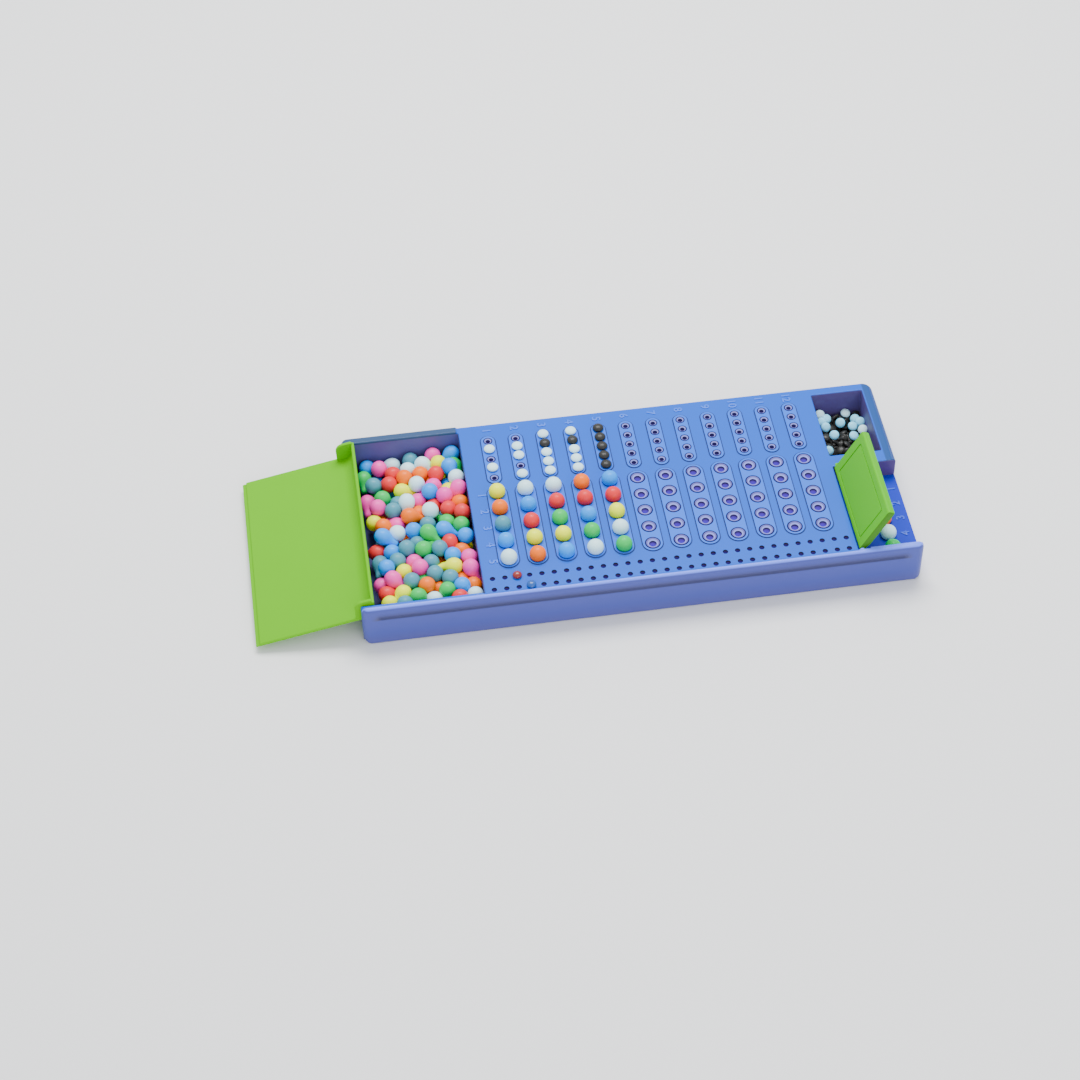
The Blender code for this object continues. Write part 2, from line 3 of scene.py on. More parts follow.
import bmesh
import bpy
import numpy as np
from mathutils.geometry import delaunay_2d_cdt
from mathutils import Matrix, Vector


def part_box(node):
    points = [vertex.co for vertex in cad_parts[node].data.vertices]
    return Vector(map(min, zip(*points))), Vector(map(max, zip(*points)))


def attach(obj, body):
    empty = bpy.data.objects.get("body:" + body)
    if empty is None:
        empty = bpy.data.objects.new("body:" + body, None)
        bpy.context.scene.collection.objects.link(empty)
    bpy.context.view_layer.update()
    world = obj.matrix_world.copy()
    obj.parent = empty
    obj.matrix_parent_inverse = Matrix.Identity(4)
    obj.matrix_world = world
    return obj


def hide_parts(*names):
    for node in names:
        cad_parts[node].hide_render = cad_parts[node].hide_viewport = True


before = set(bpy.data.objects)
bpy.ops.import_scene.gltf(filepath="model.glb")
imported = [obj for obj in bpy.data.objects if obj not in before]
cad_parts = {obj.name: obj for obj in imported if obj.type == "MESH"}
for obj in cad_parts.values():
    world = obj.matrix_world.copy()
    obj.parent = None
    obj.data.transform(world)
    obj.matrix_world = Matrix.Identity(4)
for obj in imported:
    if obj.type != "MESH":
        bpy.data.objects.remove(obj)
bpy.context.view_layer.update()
scene = bpy.context.scene
mm = 0.001
print("frame loaded:", len(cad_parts), "nodes")

# All sizes below are in millimetres, and addPiece turns them into metres

cameraPlace = np.array([-177.0, -1019.7, 1105.2])  # where the photo was taken from
weldDistance = 0.002


# tools

def ease(t):
    # 0 below 0, 1 above 1, and 3t2 - 2t3 in between
    t = np.clip(t, 0, 1)
    return t * t * (3 - 2 * t)


def merged(parts):
    # several (points, faces) as one, each part's face numbers moved on by the points before it
    points, faces, start = [], [], 0
    for partPoints, partFaces in parts:
        partPoints = np.asarray(partPoints, float).reshape(-1, 3)
        points.append(partPoints)
        for block in partFaces:
            faces.append(np.asarray(block, int) + start)
        start += len(partPoints)
    return np.concatenate(points), faces


def weld(mesh):
    # points that meet become one, which closes the seams and poles and drops faces without an area
    shape = bmesh.new()
    shape.from_mesh(mesh)
    bmesh.ops.remove_doubles(shape, verts=shape.verts, dist=weldDistance * mm)
    shape.to_mesh(mesh)
    shape.free()


def addPiece(name, points, faces, material, body, slot=None, sharp=38, replaces=()):
    # points in mm and blocks of quads, triangles or one long polygon each; edges that turn by more
    # than the angle sharp, in degrees, stay sharp
    mesh = bpy.data.meshes.new(name)
    rows = [row for block in faces for row in (block.tolist() if block.ndim == 2 else [block.tolist()])]
    mesh.from_pydata((np.asarray(points) * mm).tolist(), [], rows)
    weld(mesh)
    mesh.polygons.foreach_set("use_smooth", np.ones(len(mesh.polygons), bool))
    mesh.set_sharp_from_angle(angle=math.radians(sharp))
    mesh.update()
    obj = bpy.data.objects.new(name, mesh)
    scene.collection.objects.link(obj)
    obj.data.materials.append(material)
    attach(obj, body)
    if replaces:
        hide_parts(*replaces)
    return obj


def bandQuads(rings, around, inwards=False):
    # quads between each ring and the next; the rings run anticlockwise seen from above
    # and go down or, inwards, towards the middle
    k = np.arange(rings - 1)[:, None] * around
    n = np.arange(around)[None, :]
    after = (n + 1) % around
    a, b, c, d = k + n, k + around + n, k + around + after, k + after
    return np.stack((a, d, c, b) if inwards else (a, b, c, d), -1).reshape(-1, 4)


def outlineRings(edges, radii, offsets, heights, stations, arcSteps=5):
    # a plan of alternate horizontal and vertical edges (position, sign of outward normal), anticlockwise:
    # at each level every edge moves inwards by its own offset, and every corner becomes an arc of its own
    # radius; stations gives some edges more points, and each point is labelled with its edge or -1
    offsets, heights, radii = (np.asarray(x, float) for x in (offsets, heights, radii))
    t = np.linspace(0, 1, arcSteps + 1)
    cos, sin = np.cos(t * math.pi / 2), np.sin(t * math.pi / 2)
    place = np.array([p for p, sign in edges])[None, :] - np.array([s for p, s in edges])[None, :] * offsets
    points, labels = [], []
    for e, (_, sign) in enumerate(edges):
        previous = e - 1
        flat = e % 2 == 0
        ahead = np.array([-sign, 0]) if flat else np.array([0, sign])
        lastSign = edges[previous][1]
        behind = np.array([0, lastSign]) if flat else np.array([-lastSign, 0])
        x = place[:, previous] if flat else place[:, e]
        y = place[:, e] if flat else place[:, previous]
        corner = np.stack([x, y], -1)[:, None, :]
        rho = radii[:, e][:, None, None]
        arc = (ahead - behind)[None, None, :] - ahead * cos[None, :, None] + behind * sin[None, :, None]
        z = heights[:, previous][:, None] * (1 - t) + heights[:, e][:, None] * t
        points.append(np.concatenate([corner + rho * arc, z[:, :, None]], -1))
        labels.append(np.full(len(t), -1))
        along = np.asarray(stations.get(e, ()), float)
        if len(along):
            line = np.empty((len(offsets), len(along), 3))
            line[:, :, 0 if flat else 1] = along
            line[:, :, 1 if flat else 0] = place[:, e][:, None]
            line[:, :, 2] = heights[:, e][:, None]
            points.append(line)
            labels.append(np.full(len(along), e))
    return np.concatenate(points, 1), np.concatenate(labels)


def inside(points, loops):
    # even-odd rule: a ray to the right crosses the loops' edges an odd number of times
    a = np.concatenate(loops)
    b = np.concatenate([np.roll(loop, -1, 0) for loop in loops])
    px, py = points[:, :1], points[:, 1:2]
    spans = (a[None, :, 1] > py) != (b[None, :, 1] > py)
    rise = np.where(b[:, 1] == a[:, 1], 1e-12, b[:, 1] - a[:, 1])
    cross = a[None, :, 0] + (py - a[None, :, 1]) / rise[None, :] * (b[:, 0] - a[:, 0])[None, :]
    return ((spans & (px < cross)).sum(1) % 2) == 1


def capFaces(loops, lines=()):
    # triangles that fill the flat area between the loops, with extra lines in it; returns the points of
    # the loops and lines, then those added where they cross, and the triangles numbered through them
    closeness, leastArea = 1e-6, 1e-9
    sets = [np.asarray(run, float) for run in [*loops, *lines]]
    flat = np.concatenate(sets)
    edges, start = [], 0
    for number, run in enumerate(sets):
        n = np.arange(len(run) if number < len(loops) else len(run) - 1)
        edges.append(np.stack([n, (n + 1) % len(run)], -1) + start)
        start += len(run)
    got = delaunay_2d_cdt(flat.tolist(), np.concatenate(edges).tolist(), [], 0, closeness, True)
    made, triangles, origins = np.array([tuple(v) for v in got[0]]), np.array(got[2]), got[3]
    number = np.array([o[0] if o else -1 for o in origins])
    fresh = np.flatnonzero(number < 0)
    number[fresh] = len(flat) + np.arange(len(fresh))
    corner = made[triangles]
    (ax, ay), (bx, by), (cx, cy) = (corner[:, n].T for n in range(3))
    area = (bx - ax) * (cy - ay) - (by - ay) * (cx - ax)
    keep = inside(corner.mean(1), sets[:len(loops)]) & (np.abs(area) > leastArea)
    triangles = np.where((area > 0)[:, None], triangles, triangles[:, ::-1])
    return np.concatenate([flat, made[fresh]]), number[triangles[keep]]


def atHeight(flat, height):
    # flat points (x, y) with one height, or a height each, as z
    return np.column_stack([flat, np.broadcast_to(height, len(flat))])


def turnedPoints(profile, sides, centres=((0, 0, 0),)):
    # rings of a profile (radius r, height z) round upright axes at the centres: x = r cos, y = r sin;
    # the result is numbered by centre, ring, side and xyz
    profile, centres = np.asarray(profile, float), np.asarray(centres, float)
    turn = np.arange(sides) / sides * 2 * math.pi
    ring = np.stack([
        profile[:, None, 0] * np.cos(turn), profile[:, None, 0] * np.sin(turn),
        np.broadcast_to(profile[:, None, 1], (len(profile), sides)),
    ], -1)
    return centres[:, None, None, :] + ring[None]


def turnedSolid(profile, sides):
    # a closed turned form from a top pole to a bottom pole
    profile = np.asarray(profile, float)
    rings = turnedPoints(profile[1:-1], sides)[0]
    count = len(rings)
    points = np.concatenate([rings.reshape(-1, 3), [[0, 0, profile[0, 1]], [0, 0, profile[-1, 1]]]])
    n = np.arange(sides)
    after = (n + 1) % sides
    top = np.stack([n, after, np.full(sides, count * sides)], -1)
    last = (count - 1) * sides
    foot = np.stack([last + after, last + n, np.full(sides, count * sides + 1)], -1)
    return points, [bandQuads(count, sides), top, foot]


def stadium(x, low, high, half, steps):
    # a long round-ended loop about the line from (x, low) to (x, high), anticlockwise
    turn = np.linspace(0, math.pi, steps + 1)
    far = np.stack([x + half * np.cos(turn), high + half * np.sin(turn)], -1)
    near = np.stack([x - half * np.cos(turn), low - half * np.sin(turn)], -1)
    return np.concatenate([far, near])


def rolled(radius, steps=6):
    # a quarter round: offset inwards and drop, from the flat top to the upright face
    turn = np.linspace(0, math.pi / 2, steps + 1)
    return radius * (1 - np.sin(turn)), radius * (1 - np.cos(turn))


# materials

def nodeMaterial(name):
    # a new material with its nodes, its links and its shader
    made = bpy.data.materials.new(name)
    made.use_nodes = True
    nodes, links = made.node_tree.nodes, made.node_tree.links
    return made, nodes, links, nodes["Principled BSDF"]


def mathNode(nodes, links, operation, *values):
    # one Math node; each value is a number or another node's output
    made = nodes.new("ShaderNodeMath")
    made.operation = operation
    for number, value in enumerate(values):
        if isinstance(value, (int, float)):
            made.inputs[number].default_value = value
        else:
            links.new(value, made.inputs[number])
    return made.outputs[0]


def mapRange(nodes, links, value, low, high, toLow=0.0, toHigh=1.0, kind="LINEAR"):
    # one Map Range node, from low..high to toLow..toHigh
    made = nodes.new("ShaderNodeMapRange")
    made.interpolation_type = kind
    made.inputs["From Min"].default_value = low
    made.inputs["From Max"].default_value = high
    made.inputs["To Min"].default_value = toLow
    made.inputs["To Max"].default_value = toHigh
    links.new(value, made.inputs["Value"])
    return made.outputs["Result"]


def mixColours(nodes, links, factor, first, second):
    # one Mix node; each colour is a triple or another node's output
    made = nodes.new("ShaderNodeMix")
    made.data_type = "RGBA"
    links.new(factor, made.inputs["Factor"])
    for socket, colour in (("A", first), ("B", second)):
        if isinstance(colour, tuple):
            made.inputs[socket].default_value = (*colour, 1)
        else:
            links.new(colour, made.inputs[socket])
    return made.outputs["Result"]


def rampColour(nodes, links, value, stops):
    # a colour ramp from (place, colour) pairs
    made = nodes.new("ShaderNodeValToRGB")
    bar = made.color_ramp
    for number, (place, colour) in enumerate(stops):
        stop = bar.elements[number] if number < 2 else bar.elements.new(place)
        stop.position = place
        stop.color = (*colour, 1)
    links.new(value, made.inputs["Fac"])
    return made.outputs["Color"]


def noise(nodes, links, place, scale, detail):
    # one Noise Texture node's value
    made = nodes.new("ShaderNodeTexNoise")
    made.inputs["Scale"].default_value = scale
    made.inputs["Detail"].default_value = detail
    links.new(place, made.inputs["Vector"])
    return made.outputs["Fac"]


def splitPlace(nodes, links, place):
    # the three coordinates of a place, by the letters X, Y and Z
    split = nodes.new("ShaderNodeSeparateXYZ")
    links.new(place, split.inputs["Vector"])
    return split.outputs


def zoneMask(nodes, links, split, sides):
    # the product of smooth steps along the axes; each side is (axis, where it is 0, where it is 1)
    mask = None
    for axis, zero, one in sides:
        place = split[axis[-1]]
        if axis.startswith("abs"):
            place = mathNode(nodes, links, "ABSOLUTE", place)
        ends = (0.0, 1.0) if zero < one else (1.0, 0.0)
        step = mapRange(nodes, links, place, min(zero, one) * mm, max(zero, one) * mm, *ends, "SMOOTHSTEP")
        mask = step if mask is None else mathNode(nodes, links, "MULTIPLY", mask, step)
    return mask


plastic = {
    "cloudScale": 38.0, "cloudDetail": 4.0, "grainScale": 900.0, "grainDetail": 3.0, "grainDepth": 0.05,
    "glossier": 0.05, "duller": 0.07, "coatRoughness": 0.16,
}


def mouldedPlastic(name, colour, roughness=0.4, tone=0.04, grain=0.35, zones=(), coat=0.0, shine=0.3):
    # moulded plastic: cloudy tone, fine grain in the bump, slightly uneven gloss, zones of other colours,
    # among them painted highlights and shade
    made, nodes, links, shader = nodeMaterial(name)
    place = nodes.new("ShaderNodeTexCoord").outputs["Object"]
    cloud = noise(nodes, links, place, plastic["cloudScale"], plastic["cloudDetail"])
    darker = tuple(c * (1 - tone) for c in colour)
    paler = tuple(min(1, c * (1 + tone)) for c in colour)
    result = mixColours(nodes, links, cloud, darker, paler)
    split = splitPlace(nodes, links, place) if zones else None
    for other, sides in zones:
        result = mixColours(nodes, links, zoneMask(nodes, links, split, sides), result, other)
    links.new(result, shader.inputs["Base Color"])
    low, high = roughness - plastic["glossier"], roughness + plastic["duller"]
    links.new(mapRange(nodes, links, cloud, 0.0, 1.0, low, high), shader.inputs["Roughness"])
    bump = nodes.new("ShaderNodeBump")
    bump.inputs["Strength"].default_value = grain
    bump.inputs["Distance"].default_value = plastic["grainDepth"] * mm
    fine = noise(nodes, links, place, plastic["grainScale"], plastic["grainDetail"])
    links.new(fine, bump.inputs["Height"])
    links.new(bump.outputs["Normal"], shader.inputs["Normal"])
    shader.inputs["Specular IOR Level"].default_value = shine
    shader.inputs["Coat Weight"].default_value = coat
    shader.inputs["Coat Roughness"].default_value = plastic["coatRoughness"]
    return made


def socketPlastic(name, origin, pitch, top, rings, hole, shade, glow, holeDepth):
    # sockets on a grid: colours by distance from the nearest centre, with painted highlight and shade
    # rings, and down the hole first painted shade, then a painted glow that also emits light; the distance
    # is sqrt(dx2 + dy2), where dx is x less the nearest multiple of the pitch
    made, nodes, links, shader = nodeMaterial(name)
    split = splitPlace(nodes, links, nodes.new("ShaderNodeTexCoord").outputs["Object"])
    squares = []
    for axis, start, step in zip("XY", origin, pitch):
        moved = mathNode(nodes, links, "SUBTRACT", split[axis], start * mm)
        steps = mathNode(nodes, links, "DIVIDE", moved, step * mm)
        away = mathNode(nodes, links, "SUBTRACT", steps, mathNode(nodes, links, "ROUND", steps))
        length = mathNode(nodes, links, "MULTIPLY", away, step)
        squares.append(mathNode(nodes, links, "MULTIPLY", length, length))
    radius = mathNode(nodes, links, "SQRT", mathNode(nodes, links, "ADD", *squares))
    widest = rings[-1][0]
    share = mathNode(nodes, links, "DIVIDE", radius, widest)
    bands = rampColour(nodes, links, share, [(r / widest, colour) for r, colour in rings])
    depth = mapRange(nodes, links, split["Z"], top * mm, (top - holeDepth) * mm)
    down = rampColour(nodes, links, depth, [(0, shade), (0.25, shade), (0.5, glow), (1, glow)])
    within = mapRange(nodes, links, radius, hole + 0.12, hole - 0.05)
    links.new(mixColours(nodes, links, within, bands, down), shader.inputs["Base Color"])
    # painted glow: the deep part of each hole emits its glow colour, though no lamp is there
    dark = (0, 0, 0)
    paintedGlow = rampColour(nodes, links, depth, [(0, dark), (0.18, dark), (0.30, glow), (1, glow)])
    links.new(paintedGlow, shader.inputs["Emission Color"])
    shader.inputs["Emission Strength"].default_value = 0.5
    shader.inputs["Roughness"].default_value = 0.42
    shader.inputs["Specular IOR Level"].default_value = 0.15
    return made


# sizes that the board, its sockets and their colours share

board = {
    "left": -165.0, "right": 166.2, "front": -70.5, "back": 71.7, "frontInner": -66.0, "backInner": 66.0,
    "deckLeft": -93.2, "deckRight": 127.0, "shelfBack": 2.5, "frontZone": -60.0,
    "wallTop": 29.0, "deckTop": 28.0, "padTop": 28.5, "shelfTop": 15.0, "endWallTop": 15.5, "floor": 2.0,
    "lipStart": 66.5, "lipWidth": 1.8, "wallRise": 1.5, "collar": 0.35, "endRound": 4.2, "endShare": 0.95,
    "creaseEnd": 157.5, "creaseFade": 3.5,
    "notch": (130.0, 134.0, 67.2),  # from x, to x, depth in y
    "keyBin": (127.0, 159.1, 11.8, 65.0),  # from x, to x, from y, to y
}
grid = {
    "rowX": -76.2, "rowPitch": 17.0, "rows": 12, "places": 5, "codeY": 11.1, "codePitch": 13.47,
    "keyY": 55.9, "keyPitch": 7.87, "scoreX": -87.6, "scorePitch": 7.22, "scores": 30, "scoreY": -56.0,
    "scoreRowPitch": 8.5, "answerX": 150.5, "answerY": -10.0, "answerPitch": 12.0,
}
codeXs = grid["rowX"] + grid["rowPitch"] * np.arange(grid["rows"])
codeYs = grid["codeY"] - grid["codePitch"] * np.arange(grid["places"])
keyYs = grid["keyY"] - grid["keyPitch"] * np.arange(grid["places"])
scoreXs = grid["scoreX"] + grid["scorePitch"] * np.arange(grid["scores"])
scoreYs = grid["scoreY"] - grid["scoreRowPitch"] * np.arange(2)
answerYs = grid["answerY"] - grid["answerPitch"] * np.arange(grid["places"])


# colours and plastics; a zone is a colour and the steps that bound it: axis, where it is 0, where it is 1

boardBlue = (0.004, 0.100, 0.590)
# painted shade: darker blue on the tray's right end, for its rounded top
rightEndShade = (0.012, 0.066, 0.250)
binRim = (0.032, 0.072, 0.165)
# painted highlight: pale lavender along the front wall's rolled top, and along its top past the deck's
# right end
frontRimHighlight = (0.150, 0.235, 1.000)
wallPurple = (0.066, 0.085, 0.370)
# painted shade: darkening down the front wall's band towards its crease
creaseShade = (0.076, 0.081, 0.195)
footPurple = (0.090, 0.098, 0.345)
innerPurple = (0.110, 0.105, 0.310)
# the key bin's purple inner faces, made darker as painted shade in the deep bin
keyBinShadedPurple = (0.105, 0.075, 0.240)
# painted shadow: the shield's shade on the block's near face over the shelf
blockShieldShadow = (0.075, 0.042, 0.200)
boardPlastic = mouldedPlastic("board_blue_plastic", boardBlue, 0.45, coat=0.18, shine=0.1, zones=(
    # painted shade on the right end's rounded top
    (rightEndShade, [("X", 159.4, 160.4)]),
    (binRim, [("X", -93.6, -95.0), ("Y", 60.0, 66.0)]),
    # painted highlights: the front wall's rolled top, then its top past the deck's right end
    (frontRimHighlight, [("Y", -67.5, -68.2)]),
    (frontRimHighlight, [("Y", -65.0, -66.0), ("X", 127.0, 128.0)]),
    (wallPurple, [("Z", 28.75, 27.9), ("Y", -68.2, -68.8)]),
    (wallPurple, [("Z", 27.8, 25.0)]),
    (footPurple, [("Z", 10.0, 0.0)]),
    # painted shade, darker down towards the front wall's crease
    (creaseShade, [("Z", 25.2, 20.2), ("Z", 19.5, 19.8), ("Y", -67.0, -67.5), ("absX", 160.5, 155.5)]),
    (innerPurple, [("Z", 27.95, 27.2), ("absY", 66.35, 66.15), ("X", 164.5, 164.2)]),
    # the key bin's inner faces: purple, darkened as painted shade
    (keyBinShadedPurple, [("Z", 27.95, 27.2), ("absY", 66.35, 66.15), ("X", 164.5, 164.2), ("X", 126.8, 126.95)]),
    # painted shadow of the shield on the block's near face
    (blockShieldShadow, [("Z", 27.6, 26.9), ("absY", 2.75, 2.65), ("X", 127.2, 127.6)]),
))
shelfPlastic = mouldedPlastic("shelf_blue_plastic", (0.010, 0.028, 0.470), 0.45, shine=0.1)
binPlastic = mouldedPlastic("bin_blue_plastic", (0.060, 0.070, 0.240), 0.45, shine=0.15)
lidPlastic = mouldedPlastic("lid_green_plastic", (0.118, 0.450, 0.0), 0.5, tone=0.03, shine=0.05)
# painted shade: darker green on the shield's near end face
shieldEndShade = (0.050, 0.200, 0.010)
shieldPlastic = mouldedPlastic(
    "shield_green_plastic", (0.082, 0.440, 0.004), 0.45, tone=0.03, shine=0.12,
    # the near end face darker: painted shade
    zones=((shieldEndShade, [("Y", -65.0, -65.25)]),))
pegColours = {
    "white": (0.600, 0.900, 1.000),
    "sky": (0.000, 0.300, 1.000),
    "red": (0.770, 0.033, 0.038),
    "orange": (0.990, 0.165, 0.001),
    "yellow": (0.890, 1.000, 0.000),
    "green": (0.000, 0.540, 0.090),
    "grey": (0.067, 0.280, 0.370),
    "pink": (0.950, 0.060, 0.450),
    "black": (0.026, 0.026, 0.024),
    "paleBlue": (0.260, 0.740, 1.000),
    "scoreRed": (0.230, 0.012, 0.008),
    "scoreBlue": (0.004, 0.075, 0.340),
}
pegCoats = {"black": 0.12, "scoreRed": 0.9, "scoreBlue": 0.9}
plainCoat = 0.08
pegPlastic = {
    name: mouldedPlastic(f"peg_{name}_plastic", colour, 0.36, tone=0.05, grain=0.12, shine=0.18,
                         coat=pegCoats.get(name, plainCoat))
    for name, colour in pegColours.items()
}
padBlue = (0.018, 0.140, 0.740)
# painted shade: dark blue over each pad's edge groove and riser
padEdgeShade = (0.026, 0.046, 0.170)
numberPlastic = mouldedPlastic("number_blue_plastic", (0.022, 0.140, 0.720), 0.4)
shelfNumberPlastic = mouldedPlastic("shelf_number_plastic", (0.016, 0.068, 0.600), 0.4)
padPlastic = mouldedPlastic("pad_blue_plastic", padBlue, 0.42, shine=0.15)
# the pads' edges carry painted shade
padEdgeShadePlastic = mouldedPlastic("pad_edge_shade_plastic", padEdgeShade, 0.42, shine=0.15)
# painted shade in the top of each hole, and a painted purple glow deeper down that also emits light;
# keyGlow and scoreGlow are the same painted glow for the other holes
holeShade, holeGlow = (0.040, 0.032, 0.060), (0.150, 0.070, 0.640)
keyGlow, scoreGlow = (0.035, 0.018, 0.160), (0.055, 0.030, 0.260)
# painted highlight and shade rings round each socket: the pale ring for light on the dish, the dark
# outlines for shade in the groove and at the hole's mouth
ringHighlight, ringLavender, ringShade = (0.270, 0.290, 0.780), (0.110, 0.110, 0.420), (0.018, 0.011, 0.055)
# painted shade: a dark ring round each score hole, wider than the hole
scoreShade, scoreEdge = (0.012, 0.009, 0.014), (0.012, 0.125, 0.660)

# the colour at each radius round a socket's centre, blended between them; the pale ring is a painted
# highlight and the dark outlines are painted shade, standing in for the dish's light and shade
codeRings = [
    (2.20, ringShade), (2.34, ringHighlight), (2.80, ringHighlight), (3.30, ringLavender), (3.84, ringLavender),
    (3.94, ringShade), (4.64, ringShade), (4.72, padBlue), (4.80, padBlue),
]
keyRings = [
    (1.42, ringShade), (1.50, ringHighlight), (1.80, ringHighlight), (2.00, ringLavender), (2.14, ringLavender),
    (2.22, ringShade), (2.80, ringShade), (2.88, padBlue), (2.98, padBlue),
]
# the dark ring round each score hole is painted shade
scoreRings = [
    (1.30, scoreShade), (1.60, scoreShade), (1.70, scoreEdge), (1.82, scoreEdge), (1.95, boardBlue),
]
codeSocketPlastic = socketPlastic(
    "code_socket_plastic", (grid["rowX"], grid["codeY"]), (grid["rowPitch"], grid["codePitch"]),
    board["padTop"], codeRings, 2.2, holeShade, holeGlow, 7.5)
keySocketPlastic = socketPlastic(
    "key_socket_plastic", (grid["rowX"], grid["keyY"]), (grid["rowPitch"], grid["keyPitch"]),
    board["padTop"], keyRings, 1.42, holeShade, keyGlow, 5.0)
scoreSocketPlastic = socketPlastic(
    "score_socket_plastic", (grid["scoreX"], grid["scoreY"]), (grid["scorePitch"], grid["scoreRowPitch"]),
    board["deckTop"], scoreRings, 1.4, holeShade, scoreGlow, 4.0)
shelfSocketPlastic = socketPlastic(
    "shelf_socket_plastic", (grid["answerX"], grid["answerY"]), (grid["rowPitch"], grid["answerPitch"]),
    board["shelfTop"], codeRings, 2.2, holeShade, holeGlow, 7.5)
print("materials made:", len(bpy.data.materials))


# tray and deck

def endHeight(x, y):
    # the height under a quarter round at the front wall's right end: top - (R - sqrt(R2 - d2)),
    # where d is how far x is past the round's start
    roundness, start = board["endRound"], board["right"] - board["endRound"]
    past = np.clip(x - start, 0, roundness)
    drop = np.where(y < board["frontZone"], roundness - np.sqrt(roundness ** 2 - past ** 2), 0)
    return board["wallTop"] - drop * board["endShare"]


def topHeight(x, y):
    # the deck's plane, with a soft lip up to the wall's top along the front, and the wall's full height
    # past its ends
    lip = ease((-y - board["lipStart"]) / board["lipWidth"])
    left = ease((board["deckLeft"] - 0.1 - x) / board["wallRise"])
    right = np.where(y < board["frontZone"], ease((x - board["deckRight"] - 0.2) / board["wallRise"]), 0)
    return np.minimum(board["deckTop"] + np.maximum(np.maximum(lip, left), right), endHeight(x, y))


# the plan's edges, anticlockwise from the front: position, sign of the normal, roll at the top,
# roll at the foot, radius of the corner before it
notchLow, notchHigh, notchDepth = board["notch"]
trayPlan = np.array([
    (board["front"], -1, 2.2, 1.2, 4.2),
    (board["right"], 1, 0.9, 4.5, 4.4),  # the front wall's right end
    (board["frontInner"], 1, 0.8, 0, 1.0),
    (notchHigh, -1, 0.2, 0, 0.12),  # the notch that takes the shield's pin
    (-notchDepth, 1, 0.2, 0, 0.12),
    (notchLow, 1, 0.2, 0, 0.12),
    (board["frontInner"], 1, 0.8, 0, 0.12),
    (board["deckRight"], 1, 0.9, 0, 0.4),
    (board["shelfBack"], -1, 0.6, 0, 0.4),
    (board["right"], 1, 3.2, 4.5, 0.9),  # the block that holds the key peg bin
    (board["back"], 1, 2.2, 1.2, 6.0),
    (board["left"], -1, 3.0, 5.5, 4.0),  # the back wall's left end
    (board["backInner"], -1, 0.8, 0, 0.4),
    (board["deckLeft"], -1, 0.5, 0, 0.6),
    (board["frontInner"], 1, 0.8, 0, 0.6),
    (board["left"], -1, 3.0, 5.5, 0.4),  # the front wall's left end
])
innerCorners, wallEnds, notchFloor = (7, 8, 13, 14), (2, 12, 15), 4  # edges by their number in the plan

# more points on some edges, for the lip, the crease and the rounded ends
trayStops = {
    0: np.concatenate([
        np.linspace(-158.5, -152.5, 9), np.linspace(-140, 140, 15), np.linspace(152.5, 158.5, 9),
    ]),
    2: [165.0, 164.6, 164.1, 163.5, 162.8, 162.0],
    6: [128.7, 128.3, 127.95, 127.6],
    9: [20.0, 45.0],
    10: np.concatenate([
        np.linspace(150, -90, 17), [-93.3, -93.6, -93.9, -94.2, -94.5, -94.8], np.linspace(-105, -150, 4),
    ]),
    12: [-120, -95.2, -94.8, -94.45, -94.1],
    14: [-94.1, -94.45, -94.8, -95.2, -120],
}

# the crease along the front wall, from under the lip down: depth and height
crease = np.array([
    (0.30, 25.6), (0.65, 23.8), (1.00, 22.0), (1.22, 20.8), (1.30, 20.4), (1.28, 20.15), (1.12, 20.00),
    (0.40, 19.82), (0.12, 19.66), (0.00, 19.30),
])


def trayProfiles(creased):
    # for each level and edge: offset inwards and height, from the collar on top through the roll,
    # the crease and the plain wall to the foot
    top, foot, count = trayPlan[:, 2], trayPlan[:, 3], len(trayPlan)
    wallTop = board["wallTop"]
    turn = np.linspace(0, math.pi / 2, 7)[:, None]
    offsets = [top + board["collar"], *(top * (1 - np.sin(turn)))]
    heights = [np.full(count, wallTop), *(wallTop - top * (1 - np.cos(turn)))]
    start = wallTop - top
    for number, (depth, height) in enumerate(crease):
        offset = np.zeros(count)
        level = start + (crease[-1, 1] - start) * ((number + 1) / len(crease))
        if creased:
            offset[0], level[0] = depth, height
        offsets.append(offset)
        heights.append(level)
    for level in (15.6, 14.6):  # above and below the shelf's top
        offsets.append(np.zeros(count))
        heights.append(np.full(count, level))
    for angle in np.linspace(0, math.pi / 2, 10):
        offsets.append(foot * (1 - np.cos(angle)))
        heights.append(foot * (1 - np.sin(angle)))
    offsets, heights = np.array(offsets), np.array(heights)
    notchFoot = 23
    offsets[heights[:, notchFloor] < notchFoot, notchFloor] = notchDepth + board["frontInner"]
    return offsets, heights


def trayRadii(offsets, heights):
    # corner radii: round corners shrink as their edges move in, and the walls' inner ends are flush with
    # the shelf and the bin's low end wall lower down
    least, flush, flushHeight = 0.05, 0.02, 15.2
    number = np.arange(len(trayPlan))
    moved = np.maximum(offsets, np.roll(offsets, 1, 1))
    radii = np.maximum(trayPlan[:, 4] - np.where(np.isin(number, innerCorners), 0, moved), least)
    low = heights[:, 2:3] < flushHeight
    return np.where(low & np.isin(number, wallEnds)[None, :], flush, radii)


